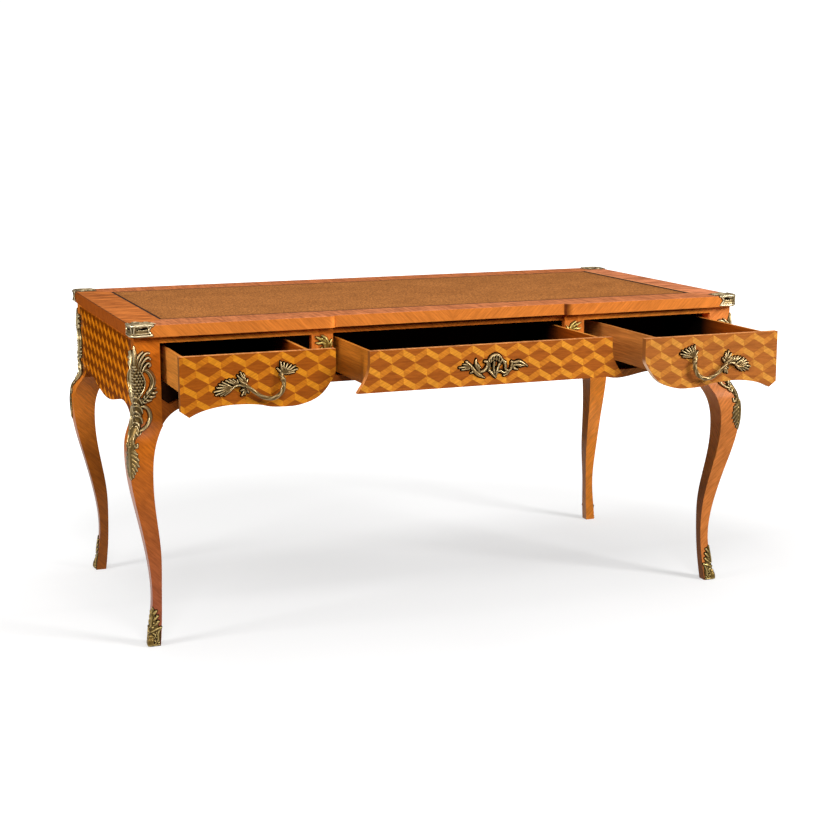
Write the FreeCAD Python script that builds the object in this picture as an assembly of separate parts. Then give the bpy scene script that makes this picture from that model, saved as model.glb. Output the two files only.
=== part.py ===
import FreeCAD, Part
import math
import os

# Writing desk (bureau plat) with three drawers, drawn in millimetres.
# X runs to the sitter's right, the front faces -Y, Z is up.
# The origin lies on the floor at the middle of the four feet.

# Overall sizes
WIDTH = 1600.0
DEPTH = 808.0
HEIGHT = 780.0

# Writing top
TOP_THICKNESS = 28.5
TOP_EASE = 1.2
TOP_CORNER_RADIUS = 20.0
END_OVERHANG = 9.5
SIDE_OVERHANG = 19.0
BREAK_DEPTH = 13.0
BREAK_HALF_WIDTH = 303.0
BREAK_RADIUS = 20.0
BORDER_END = 90.5
BORDER_SIDE = 99.0
LEATHER_THICKNESS = 2.0
INLAY_WIDTH = 3.0

# Carcase
FRIEZE_HEIGHT = 186.5
STILE_FRONT = 60.0
STILE_SIDE = 70.0
BRACKET_DROP_FRONT = 24.0
BRACKET_DROP_SIDE = 14.0
PANEL_THICKNESS = 20.0
TOP_RAIL_HEIGHT = 16.5
TOP_RAIL_DEPTH = 40.0
REAR_RAIL_DEPTH = 20.0
MIDDLE_HALF_OPENING = 309.0
POST_WIDTH = 54.0
MIDDLE_RAIL_HEIGHT = 15.5
PARTITION_THICKNESS = 18.0
LOWER_RAIL_THICKNESS = 28.0
SIDE_RAIL_HEIGHT = 60.0
RUNNER_HEIGHT = 22.0
RUNNER_WIDTH = 40.0
GUIDE_HEIGHT = 16.0
KICKER_WIDTH = 18.0
GLUE_BLOCK = 28.0
GLUE_BLOCK_LENGTH = 90.0
TENON_LENGTH = 15.0
TENON_THICKNESS = 8.0
TENON_SHOULDER = 6.0
SCREW_RADIUS = 2.0
SCREW_HEAD_RADIUS = 4.0
SCREW_LENGTH = 30.0
SCREW_SPACING = 240.0
SCREWS_EACH_WAY = 2

# Drawers
FRONT_GAP = 1.5
HEADROOM = 7.0
DRAWER_FRONT_THICKNESS = 16.0
MIDDLE_DRAWER_FLARE = 30.5
BOX_LENGTH = 520.0
BOX_WALL = 8.0
BOX_INSET_OUTER = 12.0
BOX_INSET_MIDDLE = 11.5
SIDE_DROP = 6.0
HOUSING_DEPTH = 8.0
BOTTOM_THICKNESS = 6.0
BOTTOM_LIFT = 7.0
GROOVE_DEPTH = 4.0
BACK_DROP = 8.0

# Drawer heights, as shares of the room from the drawers' top to the knee top
MIDDLE_DRAWER_SHARE = 0.589
BOX_SHARE = 0.546

# Inset of a side drawer's inner box side, as a share of the drawer's width
BOX_INNER_SHARE = 0.136

# Running clearances
RUNNER_GAP = 0.5
GUIDE_GAP = 1.0
KICKER_GAP = 1.0
STOP_GAP = 2.0

# How far each drawer stands open
LEFT_OPEN = 190.0
MIDDLE_OPEN = 277.0
RIGHT_OPEN = 323.0

# Metal mounts
MOUNT_THICKNESS = 4.0
SABOT_THICKNESS = 3.5
SABOT_HEIGHT = 95.0
CAP_THICKNESS = 4.0
CAP_RISE = 3.0
CAP_LENGTH = 46.5
CAP_LIP = 60.0
CAP_SLOT_LENGTH = 25.0
CAP_SLOT_HEIGHT = 5.5
CAP_NOTCH = 4.0
LEAF_THICKNESS = 5.0
ESCUTCHEON_THICKNESS = 6.0
HANDLE_LEAF_THICKNESS = 7.0
HANDLE_LEAF_STANDOFF = 2.0
HANDLE_BOSS_RADIUS = 5.0

# Worked-out levels and planes
UNDER_TOP = HEIGHT - TOP_THICKNESS
KNEE_TOP = UNDER_TOP - FRIEZE_HEIGHT
HALF_WIDTH = WIDTH / 2 - END_OVERHANG
HALF_DEPTH = DEPTH / 2 - SIDE_OVERHANG
LEATHER_LENGTH = WIDTH - 2 * BORDER_END
LEATHER_WIDTH = DEPTH - 2 * BORDER_SIDE
STILE_X = HALF_WIDTH - STILE_FRONT
STILE_Y = HALF_DEPTH - STILE_SIDE
FRONT_Y = -HALF_DEPTH
MIDDLE_Y = FRONT_Y + BREAK_DEPTH
OPENING_TOP = UNDER_TOP - TOP_RAIL_HEIGHT
DRAWER_TOP = OPENING_TOP - HEADROOM
DRAWER_ROOM = DRAWER_TOP - KNEE_TOP
MIDDLE_DRAWER_DEPTH = MIDDLE_DRAWER_SHARE * DRAWER_ROOM
BOX_HEIGHT = BOX_SHARE * DRAWER_ROOM
POST_OUTER = MIDDLE_HALF_OPENING + POST_WIDTH
MIDDLE_SILL = DRAWER_TOP - MIDDLE_DRAWER_DEPTH - FRONT_GAP
BOX_BOTTOM = DRAWER_TOP - BOX_HEIGHT
SIDE_TOP = DRAWER_TOP - SIDE_DROP
RUNNER_TOP = BOX_BOTTOM - RUNNER_GAP
BOARD_THICKNESS = DRAWER_FRONT_THICKNESS + STOP_GAP
BOARD_BACK = FRONT_Y + BOARD_THICKNESS
MIDDLE_BACK = MIDDLE_Y + BOARD_THICKNESS
BACK_Y = HALF_DEPTH - PANEL_THICKNESS
END_X = HALF_WIDTH - PANEL_THICKNESS
PARTITION_IN = MIDDLE_HALF_OPENING + (POST_WIDTH - PARTITION_THICKNESS) / 2
PARTITION_OUT = PARTITION_IN + PARTITION_THICKNESS
MIDDLE_FLARE_X = MIDDLE_HALF_OPENING + MIDDLE_DRAWER_FLARE
BEYOND = 60.0

# Cabriole leg: share of the height below the knee, then offset of the arris from the carcase corner.
# The outer arris swells out at the knee and draws in at the ankle, the inner one thins the leg to match.
LEG_OUTER = [
    (0, -15), (0.07, -20), (0.2, -28), (0.405, -17.5), (0.555, 0.5), (0.735, 22), (0.835, 26), (0.925, 17),
]
LEG_INNER = [(0, 42), (0.18, 50.5), (0.27, 52), (0.4, 51), (0.555, 40), (0.67, 32), (0.76, 30), (0.866, 36)]

# Lower edge of a side apron: share of the way from the middle bay to the stile, then rise above the knee top
# as a share of the drawer room.
APRON_EDGE = [
    (0.06, 0.288), (0.16, 0.178), (0.29, 0.086), (0.4, 0.104), (0.525, 0.156), (0.7, 0.153), (0.9, 0.074),
]

# Lower edge of an end panel: share of the half width, then drop below the knee top.
END_EDGE = [(0, 16), (0.25, 10), (0.46, -2), (0.68, -13), (0.86, -9)]

# Side drawer front: share of the width from its outer end, then drop as a share of the drawer room.
SIDE_FRONT_ARCH = [
    (0.053, 0.844), (0.115, 0.781), (0.2, 0.732), (0.34, 0.703), (0.51, 0.731), (0.7, 0.777),
]
SIDE_FRONT_BELLY = [(0.8, 0.744), (0.881, 0.669), (0.938, 0.552), (0.978, 0.423)]
SIDE_FRONT_HEEL = 0.757
SIDE_FRONT_SHOULDER = 0.25
SIDE_FRONT_TOE_SLOPE = 0.55

# How far the ends of a shaped edge hold their direction, as a share of its span
EDGE_PULL = 0.125

# Openwork mounts, as seen on the front: offset inward from the carcase corner, then height from the knee top.
KNEE_FRONT = [
    (0, 167), (7, 152), (20, 155), (35, 150), (36, 136), (39, 122), (28, 115), (37, 99), (44, 80),
    (44, 62), (38, 40), (19, 27), (33, 12), (33, -8), (13, -29), (-2, -40), (-5, -55), (-16, -74),
    (-5, -92), (-9, -119),
]
KNEE_SIDE = [
    (0, 167), (20, 150), (27, 125), (25, 100), (30, 75), (26, 40), (14, 15), (10, -20), (-6, -50), (-16, -74),
    (-8, -98),
]
KNEE_TIP = (-22, -148)
KNEE_RING = (15, 2)
KNEE_RING_HALF = (9, 18)
SABOT_EDGE = [(40, 0), (43, 20), (46, 40), (45, 56), (38, 68), (38, 80)]

# Leaf on the posts, by tips and notches: from the middle of the post outward, then drop below the opening.
POST_LEAF = [
    (-12, 74), (-20, 50), (-25, 24), (-14, 34), (-8, 8), (2, 24), (10, 4), (13, 21), (24, 13), (19, 29),
    (25, 40), (9, 45), (-3, 74),
]

# Drawer pull: offset from the front's middle towards its outer end, drop below the top, stand-off
PULL_PATH = [
    (52, 66, 4.5), (41, 66, 8), (27, 76, 12), (9, 90, 15), (-9, 99, 17), (-23, 101.5, 17), (-38.5, 95, 16.5),
    (-50.5, 81.5, 14.5), (-55.5, 67, 11.5), (-53, 56, 8), (-47, 48, 6),
]
PULL_RADII = [3.0, 3.0, 3.0, 3.2, 3.6, 4.0, 4.4, 4.6, 4.4, 4.2, 4.0]
PULL_OUTER_LEAF = [
    (33, 70), (28, 58), (38, 36), (48, 46), (50, 56), (62, 57), (74, 54), (80, 60), (90, 63), (94, 70),
    (101, 74), (102, 82), (107, 89), (95, 92), (90, 86), (80, 88), (74, 82), (60, 78), (54, 82), (45, 95),
    (38, 84),
]
PULL_INNER_LEAF = [
    (-44, 50), (-41, 40), (-47, 28), (-55, 16), (-63, 22), (-70, 20), (-77, 28), (-83, 32), (-93, 38),
    (-83, 45), (-68, 45), (-58, 54),
]

# Rocaille mount of the middle drawer, by tips and notches, with the eyes cut through it.
ESCUTCHEON = [
    (-87, 53), (-78, 42), (-70, 33), (-56, 41), (-47, 27), (-36, 31), (-26, 20), (-8, 27), (6, 21),
    (16, 29), (30, 21), (40, 34), (58, 27), (66, 38), (88, 44), (74, 52), (62, 66), (50, 63), (38, 75),
    (24, 68), (8, 81), (-10, 71), (-26, 80), (-40, 70), (-58, 74), (-66, 63),
]
ESCUTCHEON_EYES = [(-44, 52, 8), (-4, 48, 10), (40, 49, 8)]

# How far the edge between a tip and a notch bows outward, as a share of its length
LOBE_BOW = 0.11


def vector(x, y, z):
    return FreeCAD.Vector(x, y, z)


def block(x0, x1, y0, y1, z0, z1):
    """A box between two values on each axis."""
    corner = vector(min(x0, x1), min(y0, y1), min(z0, z1))
    return Part.makeBox(abs(x1 - x0), abs(y1 - y0), abs(z1 - z0), corner)


def mirror_x(shape):
    return shape.mirror(vector(0, 0, 0), vector(1, 0, 0))


def mirror_y(shape):
    return shape.mirror(vector(0, 0, 0), vector(0, 1, 0))


def curve(points, start=None, end=None):
    """One smooth edge through the points, with its end directions where they are given."""
    spline = Part.BSplineCurve()
    if start is None:
        spline.interpolate(Points=points)
    else:
        spline.interpolate(Points=points, InitialTangent=start, FinalTangent=end)
    return spline.toShape()


def line(first, second):
    return Part.LineSegment(first, second).toShape()


def face(edges):
    return Part.Face(Part.Wire(Part.__sortEdges__(edges)))


def fused(shapes):
    return shapes[0].multiFuse(shapes[1:]).removeSplitter()


def last_point(edge):
    return edge.valueAt(edge.LastParameter)


def first_point(edge):
    return edge.valueAt(edge.FirstParameter)


# Writing top

def top_outline():
    """Plan of the top: rounded corners, and the middle of the front set back between two quarter rounds."""
    x, y, r = WIDTH / 2, DEPTH / 2, TOP_CORNER_RADIUS
    bend = r * (1 - math.sqrt(0.5))
    bow = BREAK_RADIUS
    rise = math.asin(1 - BREAK_DEPTH / bow)
    halfway = (rise + math.pi / 2) / 2

    def break_point(angle):
        return (BREAK_HALF_WIDTH + bow * (1 - math.cos(angle)), -y + bow * (1 - math.sin(angle)))

    foot, middle, inner = break_point(math.pi / 2), break_point(halfway), break_point(rise)
    half = [
        line(vector(0, y, 0), vector(x - r, y, 0)),
        Part.Arc(vector(x - r, y, 0), vector(x - bend, y - bend, 0), vector(x, y - r, 0)).toShape(),
        line(vector(x, y - r, 0), vector(x, r - y, 0)),
        Part.Arc(vector(x, r - y, 0), vector(x - bend, bend - y, 0), vector(x - r, -y, 0)).toShape(),
        line(vector(x - r, -y, 0), vector(*foot, 0)),
        Part.Arc(vector(*foot, 0), vector(*middle, 0), vector(*inner, 0)).toShape(),
        line(vector(*inner, 0), vector(0, inner[1], 0)),
    ]
    return half + [mirror_x(edge) for edge in half]


def top_slab(grow, bottom, top):
    """The top's plan, swept between two levels and grown outwards."""
    plan = face(top_outline())
    if grow:
        plan = plan.makeOffset2D(grow)
    plan.translate(vector(0, 0, bottom))
    return plan.extrude(vector(0, 0, top - bottom))


def rectangle(length, width, bottom, top):
    return block(-length / 2, length / 2, -width / 2, width / 2, bottom, top)


def writing_top():
    slab = top_slab(0, UNDER_TOP, HEIGHT)
    rim = [e for e in slab.Edges if e.BoundBox.ZMin > HEIGHT - TOP_EASE / 2]
    slab = slab.makeChamfer(TOP_EASE, rim)
    pocket_floor = HEIGHT - LEATHER_THICKNESS
    leather = rectangle(LEATHER_LENGTH, LEATHER_WIDTH, pocket_floor, HEIGHT)
    edge = 2 * INLAY_WIDTH
    pocket = rectangle(LEATHER_LENGTH + edge, LEATHER_WIDTH + edge, pocket_floor, HEIGHT)
    pieces["leather_inset"] = leather
    pieces["inlay_line"] = pocket.cut(leather)
    return slab.cut(pocket)


# Legs, sawn to the same pattern from two faces

def leg_pattern(stile, drop, proud):
    """Leg seen square on: (offset outward from the carcase corner, height) edges of one closed outline."""
    outer = [vector(offset + proud, 0, share * KNEE_TOP) for share, offset in LEG_OUTER]
    outer.append(vector(proud, 0, KNEE_TOP))
    inner = [vector(-offset, 0, share * KNEE_TOP) for share, offset in LEG_INNER]
    inner.append(vector(-stile, 0, KNEE_TOP - drop))
    foot_out, foot_in = outer[0], inner[0]
    head_out, head_in = vector(proud, 0, UNDER_TOP), vector(-stile, 0, UNDER_TOP)
    splay = vector(outer[1].x - outer[0].x, 0, outer[1].z - outer[0].z)
    return [
        curve(outer, splay, vector(0, 0, 1) * splay.Length),
        line(outer[-1], head_out),
        line(head_out, head_in),
        line(head_in, inner[-1]),
        curve(inner),
        line(foot_in, foot_out),
    ]


def sawn_leg(proud=0.0):
    """Right front leg and its stile: the pattern swept through the front face and through the end face."""
    reach = STILE_SIDE + BEYOND
    front = face(leg_pattern(STILE_FRONT, BRACKET_DROP_FRONT, proud))
    front.translate(vector(HALF_WIDTH, FRONT_Y - BEYOND, 0))
    through_front = front.extrude(vector(0, reach + BEYOND, 0))
    side = face(leg_pattern(STILE_SIDE, BRACKET_DROP_SIDE, proud))
    side.rotate(vector(0, 0, 0), vector(0, 0, 1), -90)
    side.translate(vector(HALF_WIDTH - reach, FRONT_Y, 0))
    through_side = side.extrude(vector(reach + BEYOND, 0, 0))
    return through_front.common(through_side)


# Mounts that wrap the leg: a skin of the leg, cut to openwork outlines on its two outer faces

def wing(points, foot):
    """Outline drawn on a face of the leg, closed well outside the arris."""
    inside = [vector(-offset, 0, height) for offset, height in points]
    if foot is not None:
        inside.append(vector(-foot[0], 0, foot[1]))
    top_out = vector(BEYOND, 0, inside[0].z)
    low_out = vector(BEYOND, 0, inside[-1].z)
    return face([curve(inside), line(inside[-1], low_out), line(low_out, top_out), line(top_out, inside[0])])


def front_wing(outline, level):
    outline.translate(vector(HALF_WIDTH, FRONT_Y - BEYOND, level))
    return outline.extrude(vector(0, STILE_SIDE + BEYOND, 0))


def side_wing(outline, level):
    outline.rotate(vector(0, 0, 0), vector(0, 0, 1), -90)
    outline.translate(vector(HALF_WIDTH - STILE_FRONT, FRONT_Y, level))
    return outline.extrude(vector(STILE_FRONT + BEYOND, 0, 0))


def leg_skin(thickness, bare_leg):
    return sawn_leg(thickness).cut(bare_leg)


def front_part(skin):
    """The part of a skin in front of the leg's front face, which follows the outer arris."""
    arris = leg_pattern(STILE_SIDE, BRACKET_DROP_SIDE, 0)[0]
    low, high = first_point(arris), last_point(arris)
    head = vector(high.x, 0, UNDER_TOP)
    far_low, far_high = vector(BEYOND, 0, low.z), vector(BEYOND, 0, UNDER_TOP)
    region = face([
        arris,
        line(high, head),
        line(head, far_high),
        line(far_high, far_low),
        line(far_low, low),
    ])
    region.rotate(vector(0, 0, 0), vector(0, 0, 1), -90)
    region.translate(vector(HALF_WIDTH + BEYOND, FRONT_Y, 0))
    return skin.common(region.extrude(vector(-HALF_WIDTH, 0, 0)))


def knee_mount(bare_leg):
    skin = leg_skin(MOUNT_THICKNESS, bare_leg)
    front_skin = front_part(skin)
    side_skin = skin.cut(front_skin)
    front = front_skin.common(front_wing(wing(KNEE_FRONT, KNEE_TIP), KNEE_TOP))
    side = side_skin.common(side_wing(wing(KNEE_SIDE, KNEE_TIP), KNEE_TOP))
    eye = Part.Ellipse(vector(0, 0, 0), KNEE_RING_HALF[1], KNEE_RING_HALF[0]).toShape()
    eye.rotate(vector(0, 0, 0), vector(0, 1, 0), 90)
    eye.rotate(vector(0, 0, 0), vector(0, 0, 1), 90)
    eye.translate(vector(HALF_WIDTH - KNEE_RING[0], FRONT_Y - BEYOND, KNEE_TOP + KNEE_RING[1]))
    hole = Part.Face(Part.Wire(eye)).extrude(vector(0, BEYOND + STILE_SIDE, 0))
    return fused([front.cut(hole), side])


def sabot(bare_leg):
    skin = leg_skin(SABOT_THICKNESS, bare_leg)
    skin = skin.common(block(0, WIDTH, -DEPTH, 0, 0, SABOT_HEIGHT))
    front_skin = front_part(skin)
    side_skin = skin.cut(front_skin)
    arris = -LEG_OUTER[2][1]
    tip = (arris, SABOT_HEIGHT)
    front = front_skin.common(front_wing(wing(SABOT_EDGE, tip), 0))
    side = side_skin.common(side_wing(wing(SABOT_EDGE, tip), 0))
    return fused([front, side])


def corner_cap():
    """Right front cap: a lip over the top's corner, a slotted wall round its edge, and fish-tail ends."""
    x, y = WIDTH / 2, -DEPTH / 2
    tip = CAP_LENGTH + CAP_NOTCH
    wide, near, corner = CAP_LIP, CAP_LIP * 0.4, CAP_LIP * 0.78

    def plan(across, along):
        return vector(x - across, y + along, 0)

    out = -2 * CAP_THICKNESS
    shape = face([
        line(plan(out, out), plan(tip, out)),
        line(plan(tip, out), plan(tip, 0)),
        curve([
            plan(tip, 0), plan(wide, near), plan(corner, corner), plan(near, wide), plan(0, tip),
        ]),
        line(plan(0, tip), plan(out, tip)),
        line(plan(out, tip), plan(out, out)),
    ])
    shape.translate(vector(0, 0, UNDER_TOP))
    region = shape.extrude(vector(0, 0, TOP_THICKNESS + CAP_RISE))
    shell = top_slab(CAP_THICKNESS, UNDER_TOP, HEIGHT + CAP_RISE).common(region)
    shell = shell.cut(top_slab(0, UNDER_TOP, HEIGHT))
    slot_low = HEIGHT - CAP_SLOT_HEIGHT - 2 * CAP_RISE
    slot_far = CAP_LENGTH - 2 * CAP_NOTCH
    slot_near = slot_far - CAP_SLOT_LENGTH
    slot_high = slot_low + CAP_SLOT_HEIGHT
    wall_out = 2 * CAP_THICKNESS
    shell = shell.cut(block(x - slot_near, x - slot_far, y - wall_out, y, slot_low, slot_high))
    shell = shell.cut(block(x + wall_out, x, y + slot_near, y + slot_far, slot_low, slot_high))
    middle = UNDER_TOP + TOP_THICKNESS / 2
    low = UNDER_TOP + CAP_RISE
    notch = Part.makePolygon([
        vector(CAP_LENGTH - CAP_NOTCH, 0, middle),
        vector(tip, 0, HEIGHT),
        vector(tip, 0, low),
        vector(CAP_LENGTH - CAP_NOTCH, 0, middle),
    ])
    wedge = Part.Face(notch).extrude(vector(0, wall_out, 0))
    along_front = wedge.mirror(vector(0, 0, 0), vector(1, 0, 0))
    along_front.translate(vector(x, y - wall_out, 0))
    along_end = wedge.copy()
    along_end.rotate(vector(0, 0, 0), vector(0, 0, 1), 90)
    along_end.translate(vector(x + wall_out, y, 0))
    return shell.cut(along_front).cut(along_end)


# Carcase front

def side_front_outline(gap):
    """Right-hand drawer front seen from the front, grown all round by the gap."""
    outer = STILE_X - FRONT_GAP + gap
    inner = POST_OUTER + FRONT_GAP - gap
    span = outer - inner
    top = DRAWER_TOP + gap

    def at(share, drop):
        return vector(outer - share * span, 0, DRAWER_TOP - drop * DRAWER_ROOM - gap)

    heel = at(0, SIDE_FRONT_HEEL)
    arch = [at(*point) for point in SIDE_FRONT_ARCH]
    shoulder = vector(inner, 0, DRAWER_TOP - SIDE_FRONT_SHOULDER * DRAWER_ROOM)
    belly = [arch[-1]] + [at(*point) for point in SIDE_FRONT_BELLY] + [shoulder]
    pull = span * EDGE_PULL
    inward, upward = vector(-pull, 0, 0), vector(0, 0, pull)
    return [
        line(vector(outer, 0, top), heel),
        line(heel, arch[0]),
        curve(arch, vector(-1, 0, SIDE_FRONT_TOE_SLOPE) * pull, inward),
        curve(belly, inward, upward),
        line(shoulder, vector(inner, 0, top)),
        line(vector(inner, 0, top), vector(outer, 0, top)),
    ]


def middle_front_outline(gap):
    """Middle drawer front: level top and bottom, ends that sweep outward to the bottom."""
    half = MIDDLE_HALF_OPENING - FRONT_GAP + gap
    foot = half + MIDDLE_DRAWER_FLARE
    top = DRAWER_TOP + gap
    low = DRAWER_TOP - MIDDLE_DRAWER_DEPTH - gap
    waist = DRAWER_TOP - MIDDLE_DRAWER_DEPTH / 4
    straight = vector(0, 0, -MIDDLE_DRAWER_DEPTH / 2)
    sweep = vector(MIDDLE_DRAWER_FLARE, 0, -MIDDLE_DRAWER_DEPTH / 2)
    right = [
        line(vector(half, 0, top), vector(half, 0, waist)),
        curve([vector(half, 0, waist), vector(foot, 0, low)], straight, sweep),
    ]
    return right + [mirror_x(edge) for edge in right] + [
        line(vector(-half, 0, top), vector(half, 0, top)),
        line(vector(-foot, 0, low), vector(foot, 0, low)),
    ]


def board(edges, front, thickness):
    shape = face(edges)
    shape.translate(vector(0, front, 0))
    return shape.extrude(vector(0, thickness, 0))


def apron_edge(sill):
    """Lower edge of the front from the middle bay to the stile, as one curve."""
    start = vector(MIDDLE_FLARE_X, 0, sill)
    span = STILE_X - MIDDLE_FLARE_X
    points = [start]
    for share, rise in APRON_EDGE:
        points.append(vector(MIDDLE_FLARE_X + share * span, 0, KNEE_TOP + rise * DRAWER_ROOM))
    points.append(vector(STILE_X, 0, KNEE_TOP - BRACKET_DROP_FRONT))
    return curve(points)


def front_board(front, thickness):
    """Board that fills the front from the middle bay to the stile, before the openings are cut."""
    sill = MIDDLE_SILL - MIDDLE_RAIL_HEIGHT
    edge = apron_edge(sill)
    start, end = first_point(edge), last_point(edge)
    return board([
        edge,
        line(end, vector(STILE_X, 0, OPENING_TOP)),
        line(vector(STILE_X, 0, OPENING_TOP), vector(MIDDLE_HALF_OPENING, 0, OPENING_TOP)),
        line(vector(MIDDLE_HALF_OPENING, 0, OPENING_TOP), vector(MIDDLE_HALF_OPENING, 0, start.z)),
        line(vector(MIDDLE_HALF_OPENING, 0, start.z), start),
    ], front, thickness)


def tenon(low, high, front, length=TENON_LENGTH):
    """Tongue that enters the stile from the end of a rail or board."""
    return block(STILE_X, STILE_X + length, front, front + TENON_THICKNESS, low, high)


def carcase_front():
    whole = front_board(FRONT_Y, BOARD_THICKNESS)
    side_hole = board(side_front_outline(FRONT_GAP), FRONT_Y - BEYOND, 2 * BEYOND)
    headroom = block(POST_OUTER, STILE_X, FRONT_Y - BEYOND, FRONT_Y + BEYOND, DRAWER_TOP, OPENING_TOP)
    middle_hole = board(middle_front_outline(FRONT_GAP), FRONT_Y - BEYOND, 2 * BEYOND)
    whole = whole.cut(side_hole).cut(headroom).cut(middle_hole)
    post = whole.common(block(0, WIDTH, -DEPTH, 0, MIDDLE_SILL, HEIGHT))
    apron = whole.common(block(MIDDLE_FLARE_X, WIDTH, -DEPTH, 0, 0, MIDDLE_SILL))
    apron = apron.fuse(tenon(KNEE_TOP, KNEE_TOP + TENON_LENGTH, FRONT_Y + TENON_SHOULDER))
    pieces["post_right"] = largest(post)
    pieces["post_left"] = mirror_x(pieces["post_right"])
    pieces["apron_right"] = apron
    pieces["apron_left"] = mirror_x(apron)
    pieces["apron_middle"] = block(
        -MIDDLE_FLARE_X, MIDDLE_FLARE_X, MIDDLE_Y, MIDDLE_BACK, MIDDLE_SILL - MIDDLE_RAIL_HEIGHT, MIDDLE_SILL)


def largest(shape):
    return max(shape.Solids, key=lambda solid: solid.Volume)


def top_rails():
    """Rails under the top, front and back, tenoned into the stiles; the front one follows the set-back."""
    back = FRONT_Y + TOP_RAIL_DEPTH
    front = fused([
        block(-STILE_X, -MIDDLE_HALF_OPENING, FRONT_Y, back, OPENING_TOP, UNDER_TOP),
        block(MIDDLE_HALF_OPENING, STILE_X, FRONT_Y, back, OPENING_TOP, UNDER_TOP),
        block(-MIDDLE_HALF_OPENING, MIDDLE_HALF_OPENING, MIDDLE_Y, back, OPENING_TOP, UNDER_TOP),
    ])
    half = TENON_SHOULDER / 2
    tongue = tenon(OPENING_TOP + half, UNDER_TOP - half, FRONT_Y + 2 * TENON_SHOULDER)
    front = fused([front, tongue, mirror_x(tongue)])
    rear = block(-STILE_X, STILE_X, BACK_Y - REAR_RAIL_DEPTH, BACK_Y, OPENING_TOP, UNDER_TOP)
    return front, rear


def lower_rails():
    """Rails behind the aprons, cut to their lower edge: they carry the runners and stop the drawers."""
    low = RUNNER_TOP - SIDE_RAIL_HEIGHT
    back = BOARD_BACK + LOWER_RAIL_THICKNESS
    right = block(PARTITION_OUT, STILE_X, BOARD_BACK, back, low, RUNNER_TOP)
    right = right.common(front_board(BOARD_BACK, LOWER_RAIL_THICKNESS))
    tongue = tenon(low + TENON_SHOULDER, RUNNER_TOP - TENON_SHOULDER, BOARD_BACK + TENON_SHOULDER)
    right = right.fuse(tongue)
    middle = block(-PARTITION_IN, PARTITION_IN, MIDDLE_BACK, MIDDLE_BACK + LOWER_RAIL_THICKNESS,
                   RUNNER_TOP - RUNNER_HEIGHT, RUNNER_TOP)
    pieces["lower_rail_right"] = right
    pieces["lower_rail_left"] = mirror_x(right)
    pieces["lower_rail_middle"] = middle


def end_panel():
    """Right end panel with a serpentine lower edge, tongued into both stiles."""
    half = [vector(0, share * STILE_Y, KNEE_TOP - drop) for share, drop in END_EDGE]
    half.append(vector(0, STILE_Y, KNEE_TOP - BRACKET_DROP_SIDE))
    level = vector(0, 2 * EDGE_PULL * STILE_Y, 0)
    into_leg = vector(0, 1, -1) * (EDGE_PULL * STILE_Y)
    lower = curve(half, level, into_leg)
    shape = face([
        lower,
        mirror_y(lower),
        line(half[-1], vector(0, STILE_Y, UNDER_TOP)),
        line(vector(0, STILE_Y, UNDER_TOP), vector(0, -STILE_Y, UNDER_TOP)),
        line(vector(0, -STILE_Y, UNDER_TOP), vector(0, -STILE_Y, half[-1].z)),
    ])
    shape.translate(vector(END_X, 0, 0))
    panel = shape.extrude(vector(PANEL_THICKNESS, 0, 0))
    inset = (PANEL_THICKNESS - TENON_THICKNESS) / 2
    tongue = block(END_X + inset, END_X + inset + TENON_THICKNESS, STILE_Y, STILE_Y + TENON_THICKNESS,
                   KNEE_TOP + TENON_LENGTH, UNDER_TOP - TENON_SHOULDER)
    return fused([panel, tongue, mirror_y(tongue)])


def back_panel():
    """Closed back, cut to the same lower edge as the front and tongued into the rear stiles."""
    sill = MIDDLE_SILL - MIDDLE_RAIL_HEIGHT
    edge = apron_edge(sill)
    start, end = first_point(edge), last_point(edge)
    shape = board([
        edge,
        mirror_x(edge),
        line(start, vector(-start.x, 0, start.z)),
        line(end, vector(end.x, 0, UNDER_TOP)),
        line(vector(end.x, 0, UNDER_TOP), vector(-end.x, 0, UNDER_TOP)),
        line(vector(-end.x, 0, UNDER_TOP), vector(-end.x, 0, end.z)),
    ], BACK_Y, PANEL_THICKNESS)
    inset = (PANEL_THICKNESS - TENON_THICKNESS) / 2
    tongue = tenon(KNEE_TOP + TENON_LENGTH, UNDER_TOP - TENON_SHOULDER, BACK_Y + inset, TENON_THICKNESS)
    return fused([shape, tongue, mirror_x(tongue)])


# Inside the carcase

def partition():
    """Right-hand partition behind the post, notched round the rails and scribed clear of the middle front."""
    wall = block(PARTITION_IN, PARTITION_OUT, BOARD_BACK, BACK_Y, RUNNER_TOP - RUNNER_HEIGHT, UNDER_TOP)
    clear_of_front = board(middle_front_outline(FRONT_GAP), MIDDLE_Y, BOARD_THICKNESS)
    neighbours = ("front_top_rail", "rear_top_rail", "apron_middle")
    return without(wall, [clear_of_front] + [pieces[name] for name in neighbours])


def side_box_span():
    """Outer faces of the right-hand drawer's box, inner side first."""
    front_inner, front_outer = POST_OUTER + FRONT_GAP, STILE_X - FRONT_GAP
    return front_inner + BOX_INNER_SHARE * (front_outer - front_inner), front_outer - BOX_INSET_OUTER


def middle_box_half():
    return MIDDLE_HALF_OPENING - FRONT_GAP - BOX_INSET_MIDDLE


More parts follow.
